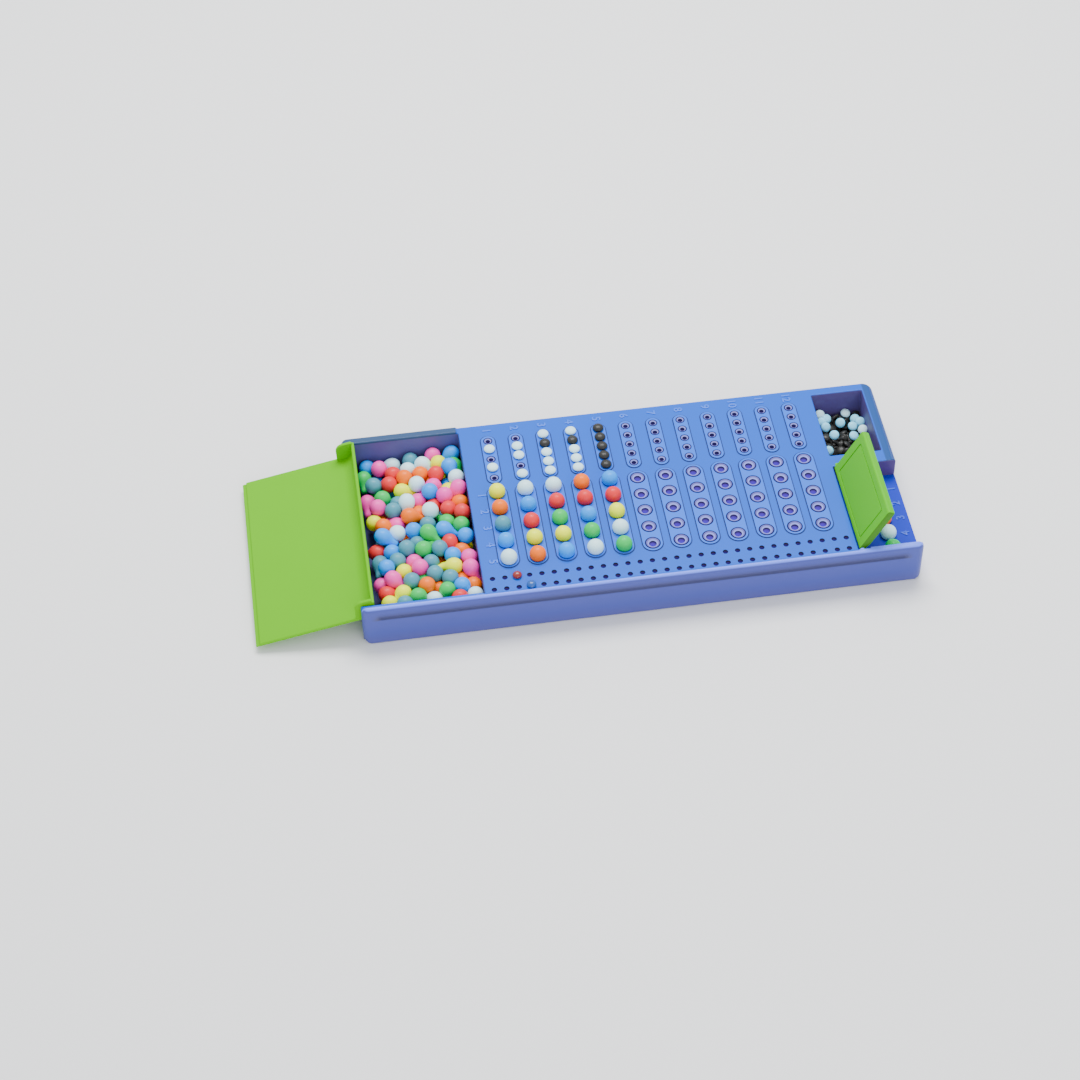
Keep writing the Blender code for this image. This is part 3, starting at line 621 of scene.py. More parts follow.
def makeTrayBody():
    # two sets of rings, plain and creased, blended along the front wall, then lifted to the lip's height
    rollRings, liftFoot, liftDepth = 8, 20, 5
    edges = [(position, sign) for position, sign in trayPlan[:, :2]]
    shapes = []
    for creased in (False, True):
        offsets, heights = trayProfiles(creased)
        radii = trayRadii(offsets, heights)
        rings, labels = outlineRings(edges, radii, offsets, heights, trayStops, 10)
        shapes.append(rings)
    plain, cut = shapes
    fade = ease((board["creaseEnd"] - np.abs(plain[0, :, 0])) / board["creaseFade"])
    fade = np.where(labels == 0, fade, 0)[None, :, None]
    rings = plain * (1 - fade) + cut * fade
    weight = np.clip((rings[:, :, 2] - liftFoot) / liftDepth, 0, 1)
    weight[:rollRings] = 1
    rings[:, :, 2] += (topHeight(rings[:, :, 0], rings[:, :, 1]) - board["wallTop"]) * weight
    rings[:, :, 2] = np.minimum(rings[:, :, 2], endHeight(rings[:, :, 0], rings[:, :, 1]))
    return rings


# radius and height down each kind of socket: collar, groove, low ring, dish and hole
codeSocket = [
    (4.80, 0), (4.72, 0), (4.62, -0.06), (4.48, -0.30), (4.34, -0.34), (4.22, -0.20), (4.12, 0.02),
    (3.98, 0.10), (3.80, 0.06), (3.30, -0.16), (2.80, -0.42), (2.45, -0.62), (2.28, -0.80), (2.16, -1.10),
    (2.10, -1.60), (2.08, -4.00), (2.06, -7.60), (1.60, -8.00), (0, -8.05),
]
keySocket = [
    (2.98, 0), (2.90, 0), (2.82, -0.05), (2.68, -0.24), (2.54, -0.26), (2.40, -0.08), (2.28, 0.04),
    (2.06, 0.02), (1.70, -0.20), (1.50, -0.42), (1.42, -0.80), (1.34, -5.60), (0.90, -5.90), (0, -5.95),
]
scoreSocket = [
    (1.95, 0), (1.84, 0), (1.74, 0.07), (1.62, 0.10), (1.48, 0.06), (1.40, -0.12), (1.36, -0.70),
    (1.30, -4.60), (0.80, -4.80), (0, -4.85),
]
codePads = {"xs": codeXs, "ys": codeYs, "half": 6.0, "socket": codeSocket, "sides": 28}
keyPads = {"xs": codeXs, "ys": keyYs, "half": 4.35, "socket": keySocket, "sides": 20}
scoreSides = 16

basin = {"roll": 0.7, "ledge": 0.35, "corner": 0.8, "leastCorner": 0.3}  # the key peg bin's rim and corners


def socketHoles(socket, sides, xs, ys, top):
    # turned sockets on every crossing of xs and ys
    places = np.array([(x, y, top) for x in xs for y in ys])
    quads = bandQuads(len(socket), sides, inwards=True)
    return [(hole, [quads]) for hole in turnedPoints(socket, sides, places)]


def padParts(pads):
    # raised pads with their sockets: edge bands carried round a stadium, a flat top with holes in it, and
    # turned sockets; the profile is how much wider than the pad, and the height over the deck
    xs, ys, socket, sides = pads["xs"], pads["ys"], pads["socket"], pads["sides"]
    steps, edgeRings, padTop = 16, 7, board["padTop"]
    rise = padTop - board["deckTop"]
    profile = [(0.60, 0), (0.34, 0), (0.24, -0.10), (0.12, -0.12), (0.04, 0.0), (-0.02, 0.3),
               (-0.12, rise - 0.06), (-0.28, rise), (-0.50, rise)]
    borders, edgeParts, topParts = [], [], []
    for x in xs:
        rings = np.stack([
            atHeight(stadium(x, ys[-1], ys[0], pads["half"] + wider, steps), board["deckTop"] + z)
            for wider, z in profile
        ])
        around = rings.shape[1]
        borders.append(rings[0, :, :2])
        edgeParts.append((rings[:edgeRings], [bandQuads(edgeRings, around, inwards=True)]))
        holes = socketHoles(socket[:1], sides, [x], ys, padTop)
        flat, triangles = capFaces([rings[-1, :, :2]] + [hole[0, :, :2] for hole, _ in holes])
        topRings = rings[edgeRings - 1:]
        topParts.append((topRings, [bandQuads(len(topRings), around, inwards=True)]))
        topParts.append((atHeight(flat, padTop), [triangles]))
    return borders, edgeParts, topParts, socketHoles(socket, sides, xs, ys, padTop)


def makeBasin():
    # the key peg bin: rings from the rim down to the floor, and the floor; each ring is an offset inwards
    # and a depth, with a little draft and a fillet at the floor
    low, high, near, far = board["keyBin"]
    edges = [(near, -1), (high, 1), (far, 1), (low, -1)]
    drop = board["deckTop"] - board["floor"]
    offset, fall = rolled(basin["roll"], 4)
    depth = [(-basin["roll"] - basin["ledge"], 0)] + [(-o, f) for o, f in zip(offset, fall)]
    depth += [(0.1, 6.0), (0.3, drop - 1.5), (0.45, drop - 0.7), (0.9, drop - 0.2), (1.7, drop)]
    offsets = np.repeat(np.array(depth)[:, :1], 4, 1)
    heights = board["deckTop"] - np.repeat(np.array(depth)[:, 1:], 4, 1)
    radii = np.maximum(basin["corner"] - offsets, basin["leastCorner"])
    rings, _ = outlineRings(edges, radii, offsets, heights, {})
    bottom, triangles = capFaces([rings[-1, :, :2]])
    walls = (rings, [bandQuads(len(depth), rings.shape[1], inwards=True)])
    return rings[0, :, :2], [walls, (atHeight(bottom, board["floor"]), [triangles])]


def makeTray():
    # the tray's outer body with the deck's top, the key peg bin and the underside, and the pads and
    # sockets as pieces of their own
    rings = makeTrayBody()
    parts = [(rings, [bandQuads(*rings.shape[:2])])]
    codeBorders, codeEdges, codeTops, codeHoles = padParts(codePads)
    keyBorders, keyEdges, keyTops, keyHoles = padParts(keyPads)
    scoreCentres = np.array([(x, y, board["deckTop"]) for y in scoreYs for x in scoreXs])
    scoreHoles = turnedPoints(scoreSocket, scoreSides, scoreCentres)
    scoreQuads = bandQuads(len(scoreSocket), scoreSides, inwards=True)
    scoreParts = [(hole, [scoreQuads]) for hole in scoreHoles]
    for name, pieceParts, material in (
        ("pad_edges", codeEdges + keyEdges, padEdgeShadePlastic), ("pad_tops", codeTops + keyTops, padPlastic),
        ("code_sockets", codeHoles, codeSocketPlastic), ("key_sockets", keyHoles, keySocketPlastic),
        ("score_sockets", scoreParts, scoreSocketPlastic),
    ):
        addPiece(name, *merged(pieceParts), material, "board", "board_plastic", 42, replaces=("peg_deck",))
    rim, basinParts = makeBasin()
    parts += basinParts

    # the deck's top: one flat cap with every border in it, and lines that carry the lip's soft step
    stops = np.array([-92.6, -60, -30, 0, 30, 60, 90, 120])
    lines = []
    for share in np.linspace(0, 1, 6):
        across = board["lipStart"] + board["lipWidth"] * share
        lines.append(np.column_stack([stops, np.full(len(stops), -across + 0.02)]))
    loops = [rings[0, :, :2], rim, *codeBorders, *keyBorders, *(hole[0, :, :2] for hole in scoreHoles)]
    flat, triangles = capFaces(loops, lines)
    parts.append((atHeight(flat, topHeight(flat[:, 0], flat[:, 1])), [triangles]))
    bottom, triangles = capFaces([rings[-1, :, :2]])
    parts.append((atHeight(bottom, 0.0), [triangles[:, ::-1]]))
    addPiece("tray_moulding", *merged(parts), boardPlastic, "board", "board_plastic", 42,
             replaces=("game_tray", "peg_deck"))


binPan = {"footRound": 5.5, "crownRound": 1.0, "dipRound": 2.0, "wallFoot": 4.0}


def makeBinPan():
    # floor and low end wall of the code peg bin: one section carried from the front wall to the back wall
    left, top, floor, right = board["left"], board["endWallTop"], board["floor"], board["deckLeft"]
    footRound, crownRound, dipRound = binPan["footRound"], binPan["crownRound"], binPan["dipRound"]
    turn = np.linspace(0, math.pi / 2, 9)
    foot = np.column_stack([left + footRound * (1 - np.sin(turn)), footRound * (1 - np.cos(turn))])
    crown = np.linspace(math.pi, 0, 13)
    crest = np.column_stack([
        left + crownRound + crownRound * np.cos(crown), top - crownRound + crownRound * np.sin(crown),
    ])
    dip = np.column_stack([
        left + binPan["wallFoot"] - dipRound * np.cos(turn), floor + dipRound - dipRound * np.sin(turn),
    ])
    section = np.concatenate([[(right, 0)], foot, crest, dip, [(right, floor)]])
    count = len(section)
    rings = np.stack([
        np.column_stack([section[:, 0], np.full(count, y), section[:, 1]])
        for y in (board["frontInner"], board["backInner"])
    ])
    faces = [bandQuads(2, count, inwards=True), np.arange(count)[::-1], np.arange(count, 2 * count)]
    addPiece("code_bin_floor", rings.reshape(-1, 3), faces, binPlastic, "board", "board_plastic")


shelf = {"roll": 0.8, "footRound": 4.5, "collar": 0.35}


def makeShelf():
    # the code shelf: a block whose right edge is rolled at the top and rounded at the foot, and its
    # sockets
    edges = [
        (board["frontInner"], -1), (board["right"], 1), (board["shelfBack"], 1), (board["deckRight"], -1),
    ]
    top, footRound, sides = board["shelfTop"], shelf["footRound"], codePads["sides"]
    offset, fall = rolled(shelf["roll"], 5)
    foot = np.linspace(0, math.pi / 2, 8)
    rightSide = np.concatenate([
        [(shelf["roll"] + shelf["collar"], top)], np.column_stack([offset, top - fall]),
        np.column_stack([footRound * (1 - np.cos(foot)), footRound * (1 - np.sin(foot))]),
    ])
    offsets = np.zeros((len(rightSide), 4))
    offsets[0] = shelf["collar"]
    offsets[:, 1] = rightSide[:, 0]
    heights = np.repeat(rightSide[:, 1:], 4, 1)
    rings, _ = outlineRings(edges, np.full(offsets.shape, 0.02), offsets, heights, {}, 1)
    holes = socketHoles(codeSocket, sides, [grid["answerX"]], answerYs, top)
    flat, triangles = capFaces([rings[0, :, :2]] + [hole[0, :, :2] for hole, _ in holes])
    bottom, bottomTriangles = capFaces([rings[-1, :, :2]])
    parts = [
        (rings, [bandQuads(len(rightSide), rings.shape[1])]), (atHeight(flat, top), [triangles]),
        (atHeight(bottom, 0.0), [bottomTriangles[:, ::-1]]),
    ]
    addPiece("code_shelf", *merged(parts), shelfPlastic, "board", "board_plastic")
    addPiece("shelf_sockets", *merged(holes), shelfSocketPlastic, "board", "board_plastic", 42)


makeTray()
makeBinPan()
makeShelf()
print("tray, bin and shelf made")


# lid over the code pegs

def turnedAbout(points, pivot, angle):
    # local (x, y, z) turned about the Y axis by the angle, then moved to the pivot
    cos, sin = math.cos(angle), math.sin(angle)
    x, y, z = points[..., 0], points[..., 1], points[..., 2]
    return np.stack([pivot[0] + x * cos + z * sin, pivot[1] + y, pivot[2] - x * sin + z * cos], -1)


def insetLoop(loop, amount):
    # each point moves inwards along the mean normal of its two edges; the loop runs anticlockwise
    ahead = np.roll(loop, -1, 0) - loop
    ahead /= np.linalg.norm(ahead, axis=1)[:, None]
    back = np.roll(ahead, 1, 0)
    inwards = np.stack([-(ahead + back)[:, 1], (ahead + back)[:, 0]], -1)
    length = np.linalg.norm(inwards, axis=1)[:, None]
    lean = np.maximum((1 + (ahead * back).sum(1)[:, None]) / 2, 0.3)
    return loop + inwards / length * amount / np.sqrt(lean)


def filletedLoop(corners, steps=6):
    # corners (x, z, radius) joined by straight runs, each corner an arc that touches both its sides
    corners = np.asarray(corners, float)
    place, radius = corners[:, :2], corners[:, 2]
    before = np.roll(place, 1, 0) - place
    after = np.roll(place, -1, 0) - place
    before /= np.linalg.norm(before, axis=1)[:, None]
    after /= np.linalg.norm(after, axis=1)[:, None]
    half = np.arccos(np.clip((before * after).sum(1), -1, 1)) / 2
    bisector = before + after
    bisector /= np.linalg.norm(bisector, axis=1)[:, None]
    centre = place + bisector * (radius / np.sin(half))[:, None]
    start = place + before * (radius / np.tan(half))[:, None] - centre
    end = place + after * (radius / np.tan(half))[:, None] - centre
    a0 = np.arctan2(start[:, 1], start[:, 0])
    sweep = (np.arctan2(end[:, 1], end[:, 0]) - a0 + math.pi) % (2 * math.pi) - math.pi
    t = np.linspace(0, 1, steps + 1)
    angle = a0[:, None] + sweep[:, None] * t
    loops = centre[:, None, :] + radius[:, None, None] * np.stack([np.cos(angle), np.sin(angle)], -1)
    return loops.reshape(-1, 2)


def drumFaces(levels, around):
    # bands between the levels, and a polygon over each end
    last = (levels - 1) * around
    ends = [np.arange(around), np.arange(last, last + around)[::-1]]
    return [bandQuads(levels, around, inwards=True), *ends]


def platePart(loop, low, high, edge, steps=3):
    # a plate whose outline is in x and z and whose thickness runs along y, with all its rims rounded
    turn = np.linspace(0, math.pi / 2, steps + 1)
    levels = [(low + edge * (1 - math.cos(a)), edge * (1 - math.sin(a))) for a in turn]
    levels += [(high - edge * (1 - math.cos(a)), edge * (1 - math.sin(a))) for a in turn[::-1]]
    levels = [(low, edge + 0.12)] + levels + [(high, edge + 0.12)]
    rings = []
    for y, amount in levels:
        flat = insetLoop(loop, amount)
        rings.append(np.column_stack([flat[:, 0], np.full(len(flat), y), flat[:, 1]]))
    return np.stack(rings), drumFaces(len(levels), len(loop))


def rodPart(radius, low, high, centre, sides=24, edge=0.3):
    # a rod along y with rounded ends
    turn = np.arange(sides) / sides * 2 * math.pi
    ring = np.stack([np.cos(turn), np.sin(turn)], -1)
    levels = [(low, radius - edge), (low + edge * 0.3, radius - edge * 0.3), (low + edge, radius),
              (high - edge, radius), (high - edge * 0.3, radius - edge * 0.3), (high, radius - edge)]
    rings = [np.column_stack([centre[0] + r * ring[:, 0], np.full(sides, y), centre[1] + r * ring[:, 1]])
             for y, r in levels]
    return np.stack(rings), drumFaces(len(levels), sides)


lid = {
    "pivot": (-160.3, 0.0, 23.5), "open": 192.0, "reach": 69.2, "rise": 5.5, "thick": 2.0, "half": 65.5,
    "lap": (66.7, 0.85),  # where the thin free edge starts, and its thickness
    "foot": (3.3, 7.4),  # the flange's end: out from the pivot and down
    "cornerRadius": 9.0, "rim": 0.2,
    "edgeRadius": 0.35, "footRadius": 0.95, "lapRadii": (0.5, 0.4),
    "cheekWidth": 11.2, "cheekLean": 2.2, "cheekDrop": 8.2, "cheekRadius": 5.5, "cheekFootRadius": 1.2,
    "cheekSpan": (63.4, 65.4), "cheekRim": 0.5, "pin": 1.5, "pinSpan": (64.4, 68.0),
}


def bothEnds(span):
    # a span along y and its mirror image, each from low to high
    return ((-span[1], -span[0]), span)


def makeLid():
    # shut, with its pivot at the origin: a plate that turns down in a wide corner into a flange, and two
    # cheeks with pins; it is then turned open
    pivot, reach, rise, thick = lid["pivot"], lid["reach"], lid["rise"], lid["thick"]
    lapStart, lapThick = lid["lap"]
    lean = math.radians(lid["open"] - 180)
    out, drop = lid["foot"]
    footX = -out * math.cos(lean) - drop * math.sin(lean)
    footZ = out * math.sin(lean) - drop * math.cos(lean)
    cornerX = footX + (rise - footZ) * math.tan(lean)
    innerRise = rise - thick
    innerFootX = footX + thick * math.cos(lean)
    innerFootZ = footZ - thick * math.sin(lean)
    innerCornerX = innerFootX + (innerRise - innerFootZ) * math.tan(lean)
    corner, edgeRadius, footRadius = lid["cornerRadius"], lid["edgeRadius"], lid["footRadius"]
    lapOuter, lapInner = lid["lapRadii"]
    section = filletedLoop([
        (reach, rise, edgeRadius), (cornerX, rise, corner), (footX, footZ, footRadius),
        (innerFootX, innerFootZ, footRadius), (innerCornerX, innerRise, corner - thick),
        (lapStart, innerRise, lapOuter), (lapStart, rise - lapThick, lapInner),
        (reach, rise - lapThick, edgeRadius),
    ], 8)
    parts = [platePart(section, -lid["half"], lid["half"], lid["rim"])]
    middle = thick / 2
    cheekEdge = cornerX + lid["cheekWidth"]
    cheek = filletedLoop([
        (cheekEdge, rise - middle, footRadius), (cornerX + middle, rise - middle, corner - middle),
        (footX + middle, -lid["cheekDrop"], lid["cheekFootRadius"]),
        (cheekEdge - lid["cheekLean"], -lid["cheekDrop"], lid["cheekRadius"]),
    ], 10)
    parts += [platePart(cheek, low, high, lid["cheekRim"]) for low, high in bothEnds(lid["cheekSpan"])]
    parts += [rodPart(lid["pin"], low, high, (0, 0)) for low, high in bothEnds(lid["pinSpan"])]
    points, faces = merged(parts)
    points = turnedAbout(points, pivot, -(math.pi + lean))
    addPiece("lid_moulding", points, faces, lidPlastic, "code_lid", "lid_plastic", 40,
             replaces=("code_lid",))


makeLid()
print("lid made")


# shield over the code shelf

shield = {
    "pivot": (129.8, -31.6, 27.2), "open": 62.0, "reach": 31.8, "half": 33.95, "thick": 1.6, "skirt": 4.3,
    "cornerRadius": 1.5, "barrel": 2.0, "pin": 1.5, "pinEnd": 36.2, "hingeZone": 4.0, "hingeRise": 1.2,
    "hingeBorder": 1.6, "edgeBorder": 4.6, "endBorder": 6.0, "grooveWidth": 1.1, "grooveDepth": 0.7,
    "panelDrop": 0.05, "borderRadius": 1.6, "endRoll": 0.7, "hingeRoll": 0.4, "innerRadius": 0.5,
    "planRadii": (0.5, 1.2, 1.2, 0.5),
}


def shieldShell():
    # a rectangle whose edges roll over, a skirt down to its rim, and up the inner side to the panel
    s = shield
    top, foot = s["barrel"], s["barrel"] - s["skirt"]
    half, reach, thick = s["half"], s["reach"], s["thick"]
    rolls = np.array([s["endRoll"], s["cornerRadius"], s["endRoll"], s["hingeRoll"]])
    turn = np.linspace(0, math.pi / 2, 9)[:, None]
    offsets = [rolls + 0.3, *(rolls * (1 - np.sin(turn)))]
    heights = [np.full(4, top), *(top - rolls * (1 - np.cos(turn)))]
    under = top - thick
    inner = s["innerRadius"]
    for offset, height in (
        (0, foot + 0.4), (0.1, foot + 0.1), (0.35, foot), (thick - 0.35, foot), (thick - 0.1, foot + 0.1),
        (thick, foot + 0.4), (thick, under - 0.9), (thick + inner * 0.3, under - 0.5),
        (thick + inner, under), (thick + inner + 0.3, under),
    ):
        offsets.append(offset + np.zeros(4))
        heights.append(np.full(4, height))
    offsets, heights = np.array(offsets), np.array(heights)
    edges = [(-half, -1), (reach, 1), (half, 1), (0.0, -1)]
    moved = np.maximum(offsets, np.roll(offsets, 1, 1))
    radii = np.maximum(np.array(s["planRadii"]) - moved, 0.1)
    stops = {0: [1.5, 3.0, 4.5, 6.0], 2: [6.0, 4.5, 3.0, 1.5]}
    rings, _ = outlineRings(edges, radii, offsets, heights, stops)
    # the rim climbs to the barrel at the hinge
    share = 1 - np.clip(rings[:, :, 0] / s["hingeZone"], 0, 1)
    low = np.clip((under - rings[:, :, 2]) / (under - foot), 0, 1)
    rings[:, :, 2] += share * low * (under - s["hingeRise"] - foot)
    return rings, under


def grooveRings(top):
    # the panel's border groove: offset inwards from its outer edge, and depth
    s = shield
    width, depth = s["grooveWidth"], s["grooveDepth"]
    groove = np.array([
        (-0.25, 0), (0, 0), (0.18, 0.05), (0.34, depth - 0.08), (0.5, depth), (width - 0.4, depth),
        (width - 0.22, depth - 0.08), (width, 0.07), (width + 0.3, s["panelDrop"]),
    ])
    end = s["half"] - s["endBorder"]
    border = [(-end, -1), (s["reach"] - s["edgeBorder"], 1), (end, 1), (s["hingeBorder"], -1)]
    offsets, depths = np.repeat(groove[:, :1], 4, 1), np.repeat(groove[:, 1:], 4, 1)
    return outlineRings(border, np.maximum(s["borderRadius"] - offsets, 0.3), offsets, top - depths, {})[0]


def makeShield():
    # shut, with its pivot at the origin: shell, panel with its border groove, barrel and pins; it is then
    # turned half open
    s = shield
    top, half = s["barrel"], s["half"]
    shell, under = shieldShell()
    groove = grooveRings(top)
    parts = [(shell, [bandQuads(*shell.shape[:2])])]
    flat, triangles = capFaces([shell[-1, :, :2]])
    parts.append((atHeight(flat, under), [triangles[:, ::-1]]))
    parts.append((groove, [bandQuads(*groove.shape[:2], inwards=True)]))
    flat, triangles = capFaces([shell[0, :, :2], groove[0, :, :2]])
    parts.append((atHeight(flat, top), [triangles]))
    flat, triangles = capFaces([groove[-1, :, :2]])
    parts.append((atHeight(flat, top - s["panelDrop"]), [triangles]))
    parts.append(rodPart(s["barrel"], -half + 0.1, half - 0.1, (0, 0), 28, 0.4))
    parts += [rodPart(s["pin"], low, high, (0, 0)) for low, high in bothEnds((half - 1.0, s["pinEnd"]))]
    points, faces = merged(parts)
    points = turnedAbout(points, s["pivot"], -math.radians(s["open"]))
    addPiece("shield_moulding", points, faces, shieldPlastic, "shield", "lid_plastic", 40,
             replaces=("shield",))


makeShield()
print("shield made")


# pegs

# radius and height down a code peg, from its ball through the neck to the shank's tip
ball, ballHeight = 4.95, 2.1
codePegProfile = [(0, ballHeight + ball)] + [
    (ball * math.sin(a), ballHeight + ball * math.cos(a))
    for a in np.radians([12, 26, 40, 54, 68, 82, 96, 110])
] + [
    (4.05, -0.15), (3.35, -0.75), (2.72, -1.45), (2.30, -2.20), (2.08, -3.00), (2.05, -4.60),
    (2.05, -6.60), (1.96, -7.20), (1.60, -7.60), (0, -7.75),
]
keyHead, scoreHead = 3.4, 2.8


def keyPegProfile(head):
    # a dome over a lens-shaped rim, on a thin shank
    foot, rise = 1.1, 1.9
    turn = np.radians([20, 45, 65, 80, 90])
    dome = [(0, foot + rise)] + [(head * math.sin(a), foot + rise * math.cos(a)) for a in turn]
    lens = [(head * 0.97, 0.7), (head * 0.8, 0.35)]
    return dome + lens + [(1.4, 0.2), (1.1, 0.05), (1.1, -4.6), (0.8, -5.1), (0, -5.2)]


seated = {
    "code_peg_row": [
        ("yellow", "orange", "grey", "sky", "white"), ("white", "sky", "red", "yellow", "orange"),
        ("white", "red", "green", "yellow", "sky"), ("orange", "red", "sky", "green", "white"),
        ("sky", "red", "yellow", "white", "green"),
    ],
    "key_peg_row": ["-w-w-", "-ww-w", "wkwww", "wkwww", "kkkkk"],
    "answer_peg": ("yellow", "sky", "orange", "white", "green"),
}
colourLetters = {
    "w": "white", "s": "sky", "r": "red", "o": "orange", "y": "yellow", "g": "green", "t": "grey",
    "p": "pink", "k": "black", "b": "paleBlue",
}


def seatedPeg(node, solid, colour, slot, seat):
    # a finer peg in the place of the node of that name, with its profile's zero at the seat's height
    low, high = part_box(node)
    centre = np.array([(low[0] + high[0]) / 2 / mm, (low[1] + high[1]) / 2 / mm, seat])
    points, faces = solid
    addPiece(node + "_fine", points + centre, faces, pegPlastic[colour], node, slot, 60, replaces=(node,))


def makeSeatedPegs():
    # a peg for every node that holds one; a key peg's mark is its colour letter, or a dash where none is
    codePeg = turnedSolid(codePegProfile, 28)
    keyPeg = turnedSolid(keyPegProfile(keyHead), 20)
    scorePeg = turnedSolid(keyPegProfile(scoreHead), 20)
    padTop, shelfTop = board["padTop"], board["shelfTop"]
    for row, colours in enumerate(seated["code_peg_row"], 1):
        for number, colour in enumerate(colours, 1):
            seatedPeg(f"code_peg_row{row}_{number}", codePeg, colour, "peg_" + colour, padTop)
    for row, marks in enumerate(seated["key_peg_row"], 1):
        for number, mark in enumerate(marks, 1):
            if mark != "-":
                colour = colourLetters[mark]
                seatedPeg(f"key_peg_row{row}_{number}", keyPeg, colour, "peg_" + colour, padTop)
    for number, colour in enumerate(seated["answer_peg"], 1):
        seatedPeg(f"answer_peg_{number}", codePeg, colour, "peg_" + colour, shelfTop)
    seatedPeg("score_peg_red", scorePeg, "scoreRed", "score_red", board["deckTop"])
    seatedPeg("score_peg_blue", scorePeg, "scoreBlue", "score_blue", board["deckTop"])


makeSeatedPegs()
print("seated pegs made")


# spare pegs

# colour, x and y of each ball that is seen, on a plane as the camera sees it, and its shank's bearing
seenCodePegs = """
s -99 59 215, p -110 58, t -123 57, w -116 52 310, w -136 52 170, w -127 48, y -105 49 265,
g -95 49 310, s -99 43, s -148 50, p -142 45, g -152 44 265, o -130 38, o -119 40, r -136 43, r -110 39,
w -98 35, r -138 34, y -132 29 350, w -124 31, p -110 30 215, p -109 22, y -103 26, p -95 25 215,
t -147 36, p -151 24 265, g -144 24, p -147 16, t -136 20, t -138 15, w -129 18 265, p -122 20,
s -116 22, o -100 15 170, r -114 14, r -102 8, o -123 12 215, o -131 8 350, r -95 6, y -150 6, o -145 0,
p -138 6 120, w -138 -4, s -128 -5, g -120 -4 310, g -109 1 120, t -118 3, s -110 -5 350, g -99 -4,
s -96 -12, s -148 -5 310, t -126 -12, r -151 -15, s -142 -18 310, t -133 -18, g -123 -21 45, t -114 -23,
r -107 -15 265, o -100 -23 350, t -152 -24 265, s -147 -28, t -141 -28, p -131 -30, p -126 -32,
t -121 -32, y -136 -34, y -107 -36 170, y -113 -38 215, p -97 -31, p -97 -38 310, s -106 -29,
g -126 -40, t -118 -44, p -142 -38 310, t -133 -45, p -149 -43, o -126 -48, o -102 -44, o -96 -50,
s -105 -50, t -110 -46, g -111 -52, r -150 -48 350, y -140 -51, w -119 -53 170, g -130 -54, r -103 -55,
o -117 -50, y -146 -57, t -136 -56, w -96 -58, w -117 10
"""
seenKeyPegs = """
w 133 63, b 136 58, b 133 55, b 134 51, b 138 43, b 144 53, b 157 53, b 151 49, b 150 41, w 149 61,
w 160 45, b 132 30, b 154 54
"""


def readSeen(words, plane):
    # colours, places on the plane z, and bearings in degrees, nan where a shank's bearing isn't given
    rows = [entry.split() for entry in words.replace("\n", " ").split(",")]
    colours = [colourLetters[row[0]] for row in rows]
    places = np.array([(float(row[1]), float(row[2]), plane) for row in rows])
    bearings = np.array([float(row[3]) if len(row) > 3 else np.nan for row in rows])
    return colours, places, bearings


# the shares of each push, turn and pull that the pegs follow in one step
settling = {
    "push": 0.42, "turn": 0.8, "hold": 0.09, "sink": 0.05, "sight": 0.2, "climb": 0.06, "cover": 0.2,
    "free": 0.85,  # the share of the steps after which the pegs are only pushed apart
}


def settle(places, axes, heap, anchors, rays):
    # rigid pegs made of a few spheres each are pushed apart, kept in their box and off the lid's sweep,
    # and sink a little; the seen ones are drawn back to their lines of sight and bearings, the others
    # stay in the inner box and under the surface
    kind, surface = heap["kind"], heap["surface"]
    offsets, radii = np.array(kind["offsets"]), np.array(kind["radii"])
    count, each, seen = len(places), len(offsets), len(anchors)
    isSeen = np.repeat(np.arange(count) < seen, each)[:, None]
    low, high = (
        np.where(isSeen, np.array(wide, float), np.array(tight, float))
        for wide, tight in zip(heap["limits"], heap["inner"])
    )
    wanted = axes[:seen].copy()
    owner = np.repeat(np.arange(count), each)
    other = owner[:, None] != owner[None, :]
    radius = np.tile(radii, count)
    reach = radius[:, None] + radius[None, :]
    arm = offsets - offsets.mean()
    for step in range(heap["steps"]):
        late = step / heap["steps"]
        spheres = (places[:, None, :] + axes[:, None, :] * offsets[None, :, None]).reshape(-1, 3)
        apart = spheres[:, None, :] - spheres[None, :, :]
        length = np.sqrt((apart ** 2).sum(-1)) + 1e-9
        over = np.where(other, np.maximum(reach - length, 0), 0)
        push = (apart / length[:, :, None] * over[:, :, None]).sum(1) * settling["push"]
        push += np.maximum(low + radius[:, None] - spheres, 0)
        push -= np.maximum(spheres + radius[:, None] - high, 0)
        if heap["lidGap"]:
            dx, dz = spheres[:, 0] - lid["pivot"][0], spheres[:, 2] - lid["pivot"][2]
            away = np.hypot(dx, dz) + 1e-9
            short = np.maximum(heap["lidGap"] + radius - away, 0) / away
            push[:, 0] += dx * short
            push[:, 2] += np.minimum(dz * short, 0)
        push = push.reshape(count, each, 3)
        shift = push.sum(1) / (1 + (np.abs(push).sum(-1) > 1e-6).sum(1)[:, None] * 0.5)
        turn = (push * arm[None, :, None]).sum(1) / (arm ** 2).sum()
        turn -= axes * (turn * axes).sum(1)[:, None]
        places = places + shift
        axes = axes + turn * settling["turn"]
        axes[:seen] += wanted * settling["hold"]
        axes /= np.linalg.norm(axes, axis=1)[:, None]
        if late < settling["free"]:
            places[:, 2] -= settling["sink"] * (1 - late)
            off = anchors - places[:seen]
            off -= rays * (off * rays).sum(1)[:, None]
            places[:seen] += off * settling["sight"]
            climb = surface(places[:seen, 0], places[:seen, 1]) - places[:seen, 2]
            places[:seen] += rays * (climb / rays[:, 2])[:, None] * settling["climb"]
            roof = surface(places[seen:, 0], places[seen:, 1]) - kind["cover"]
            places[seen:, 2] += np.minimum(roof - places[seen:, 2], 0) * settling["cover"]
    return places, axes, float(over.max())


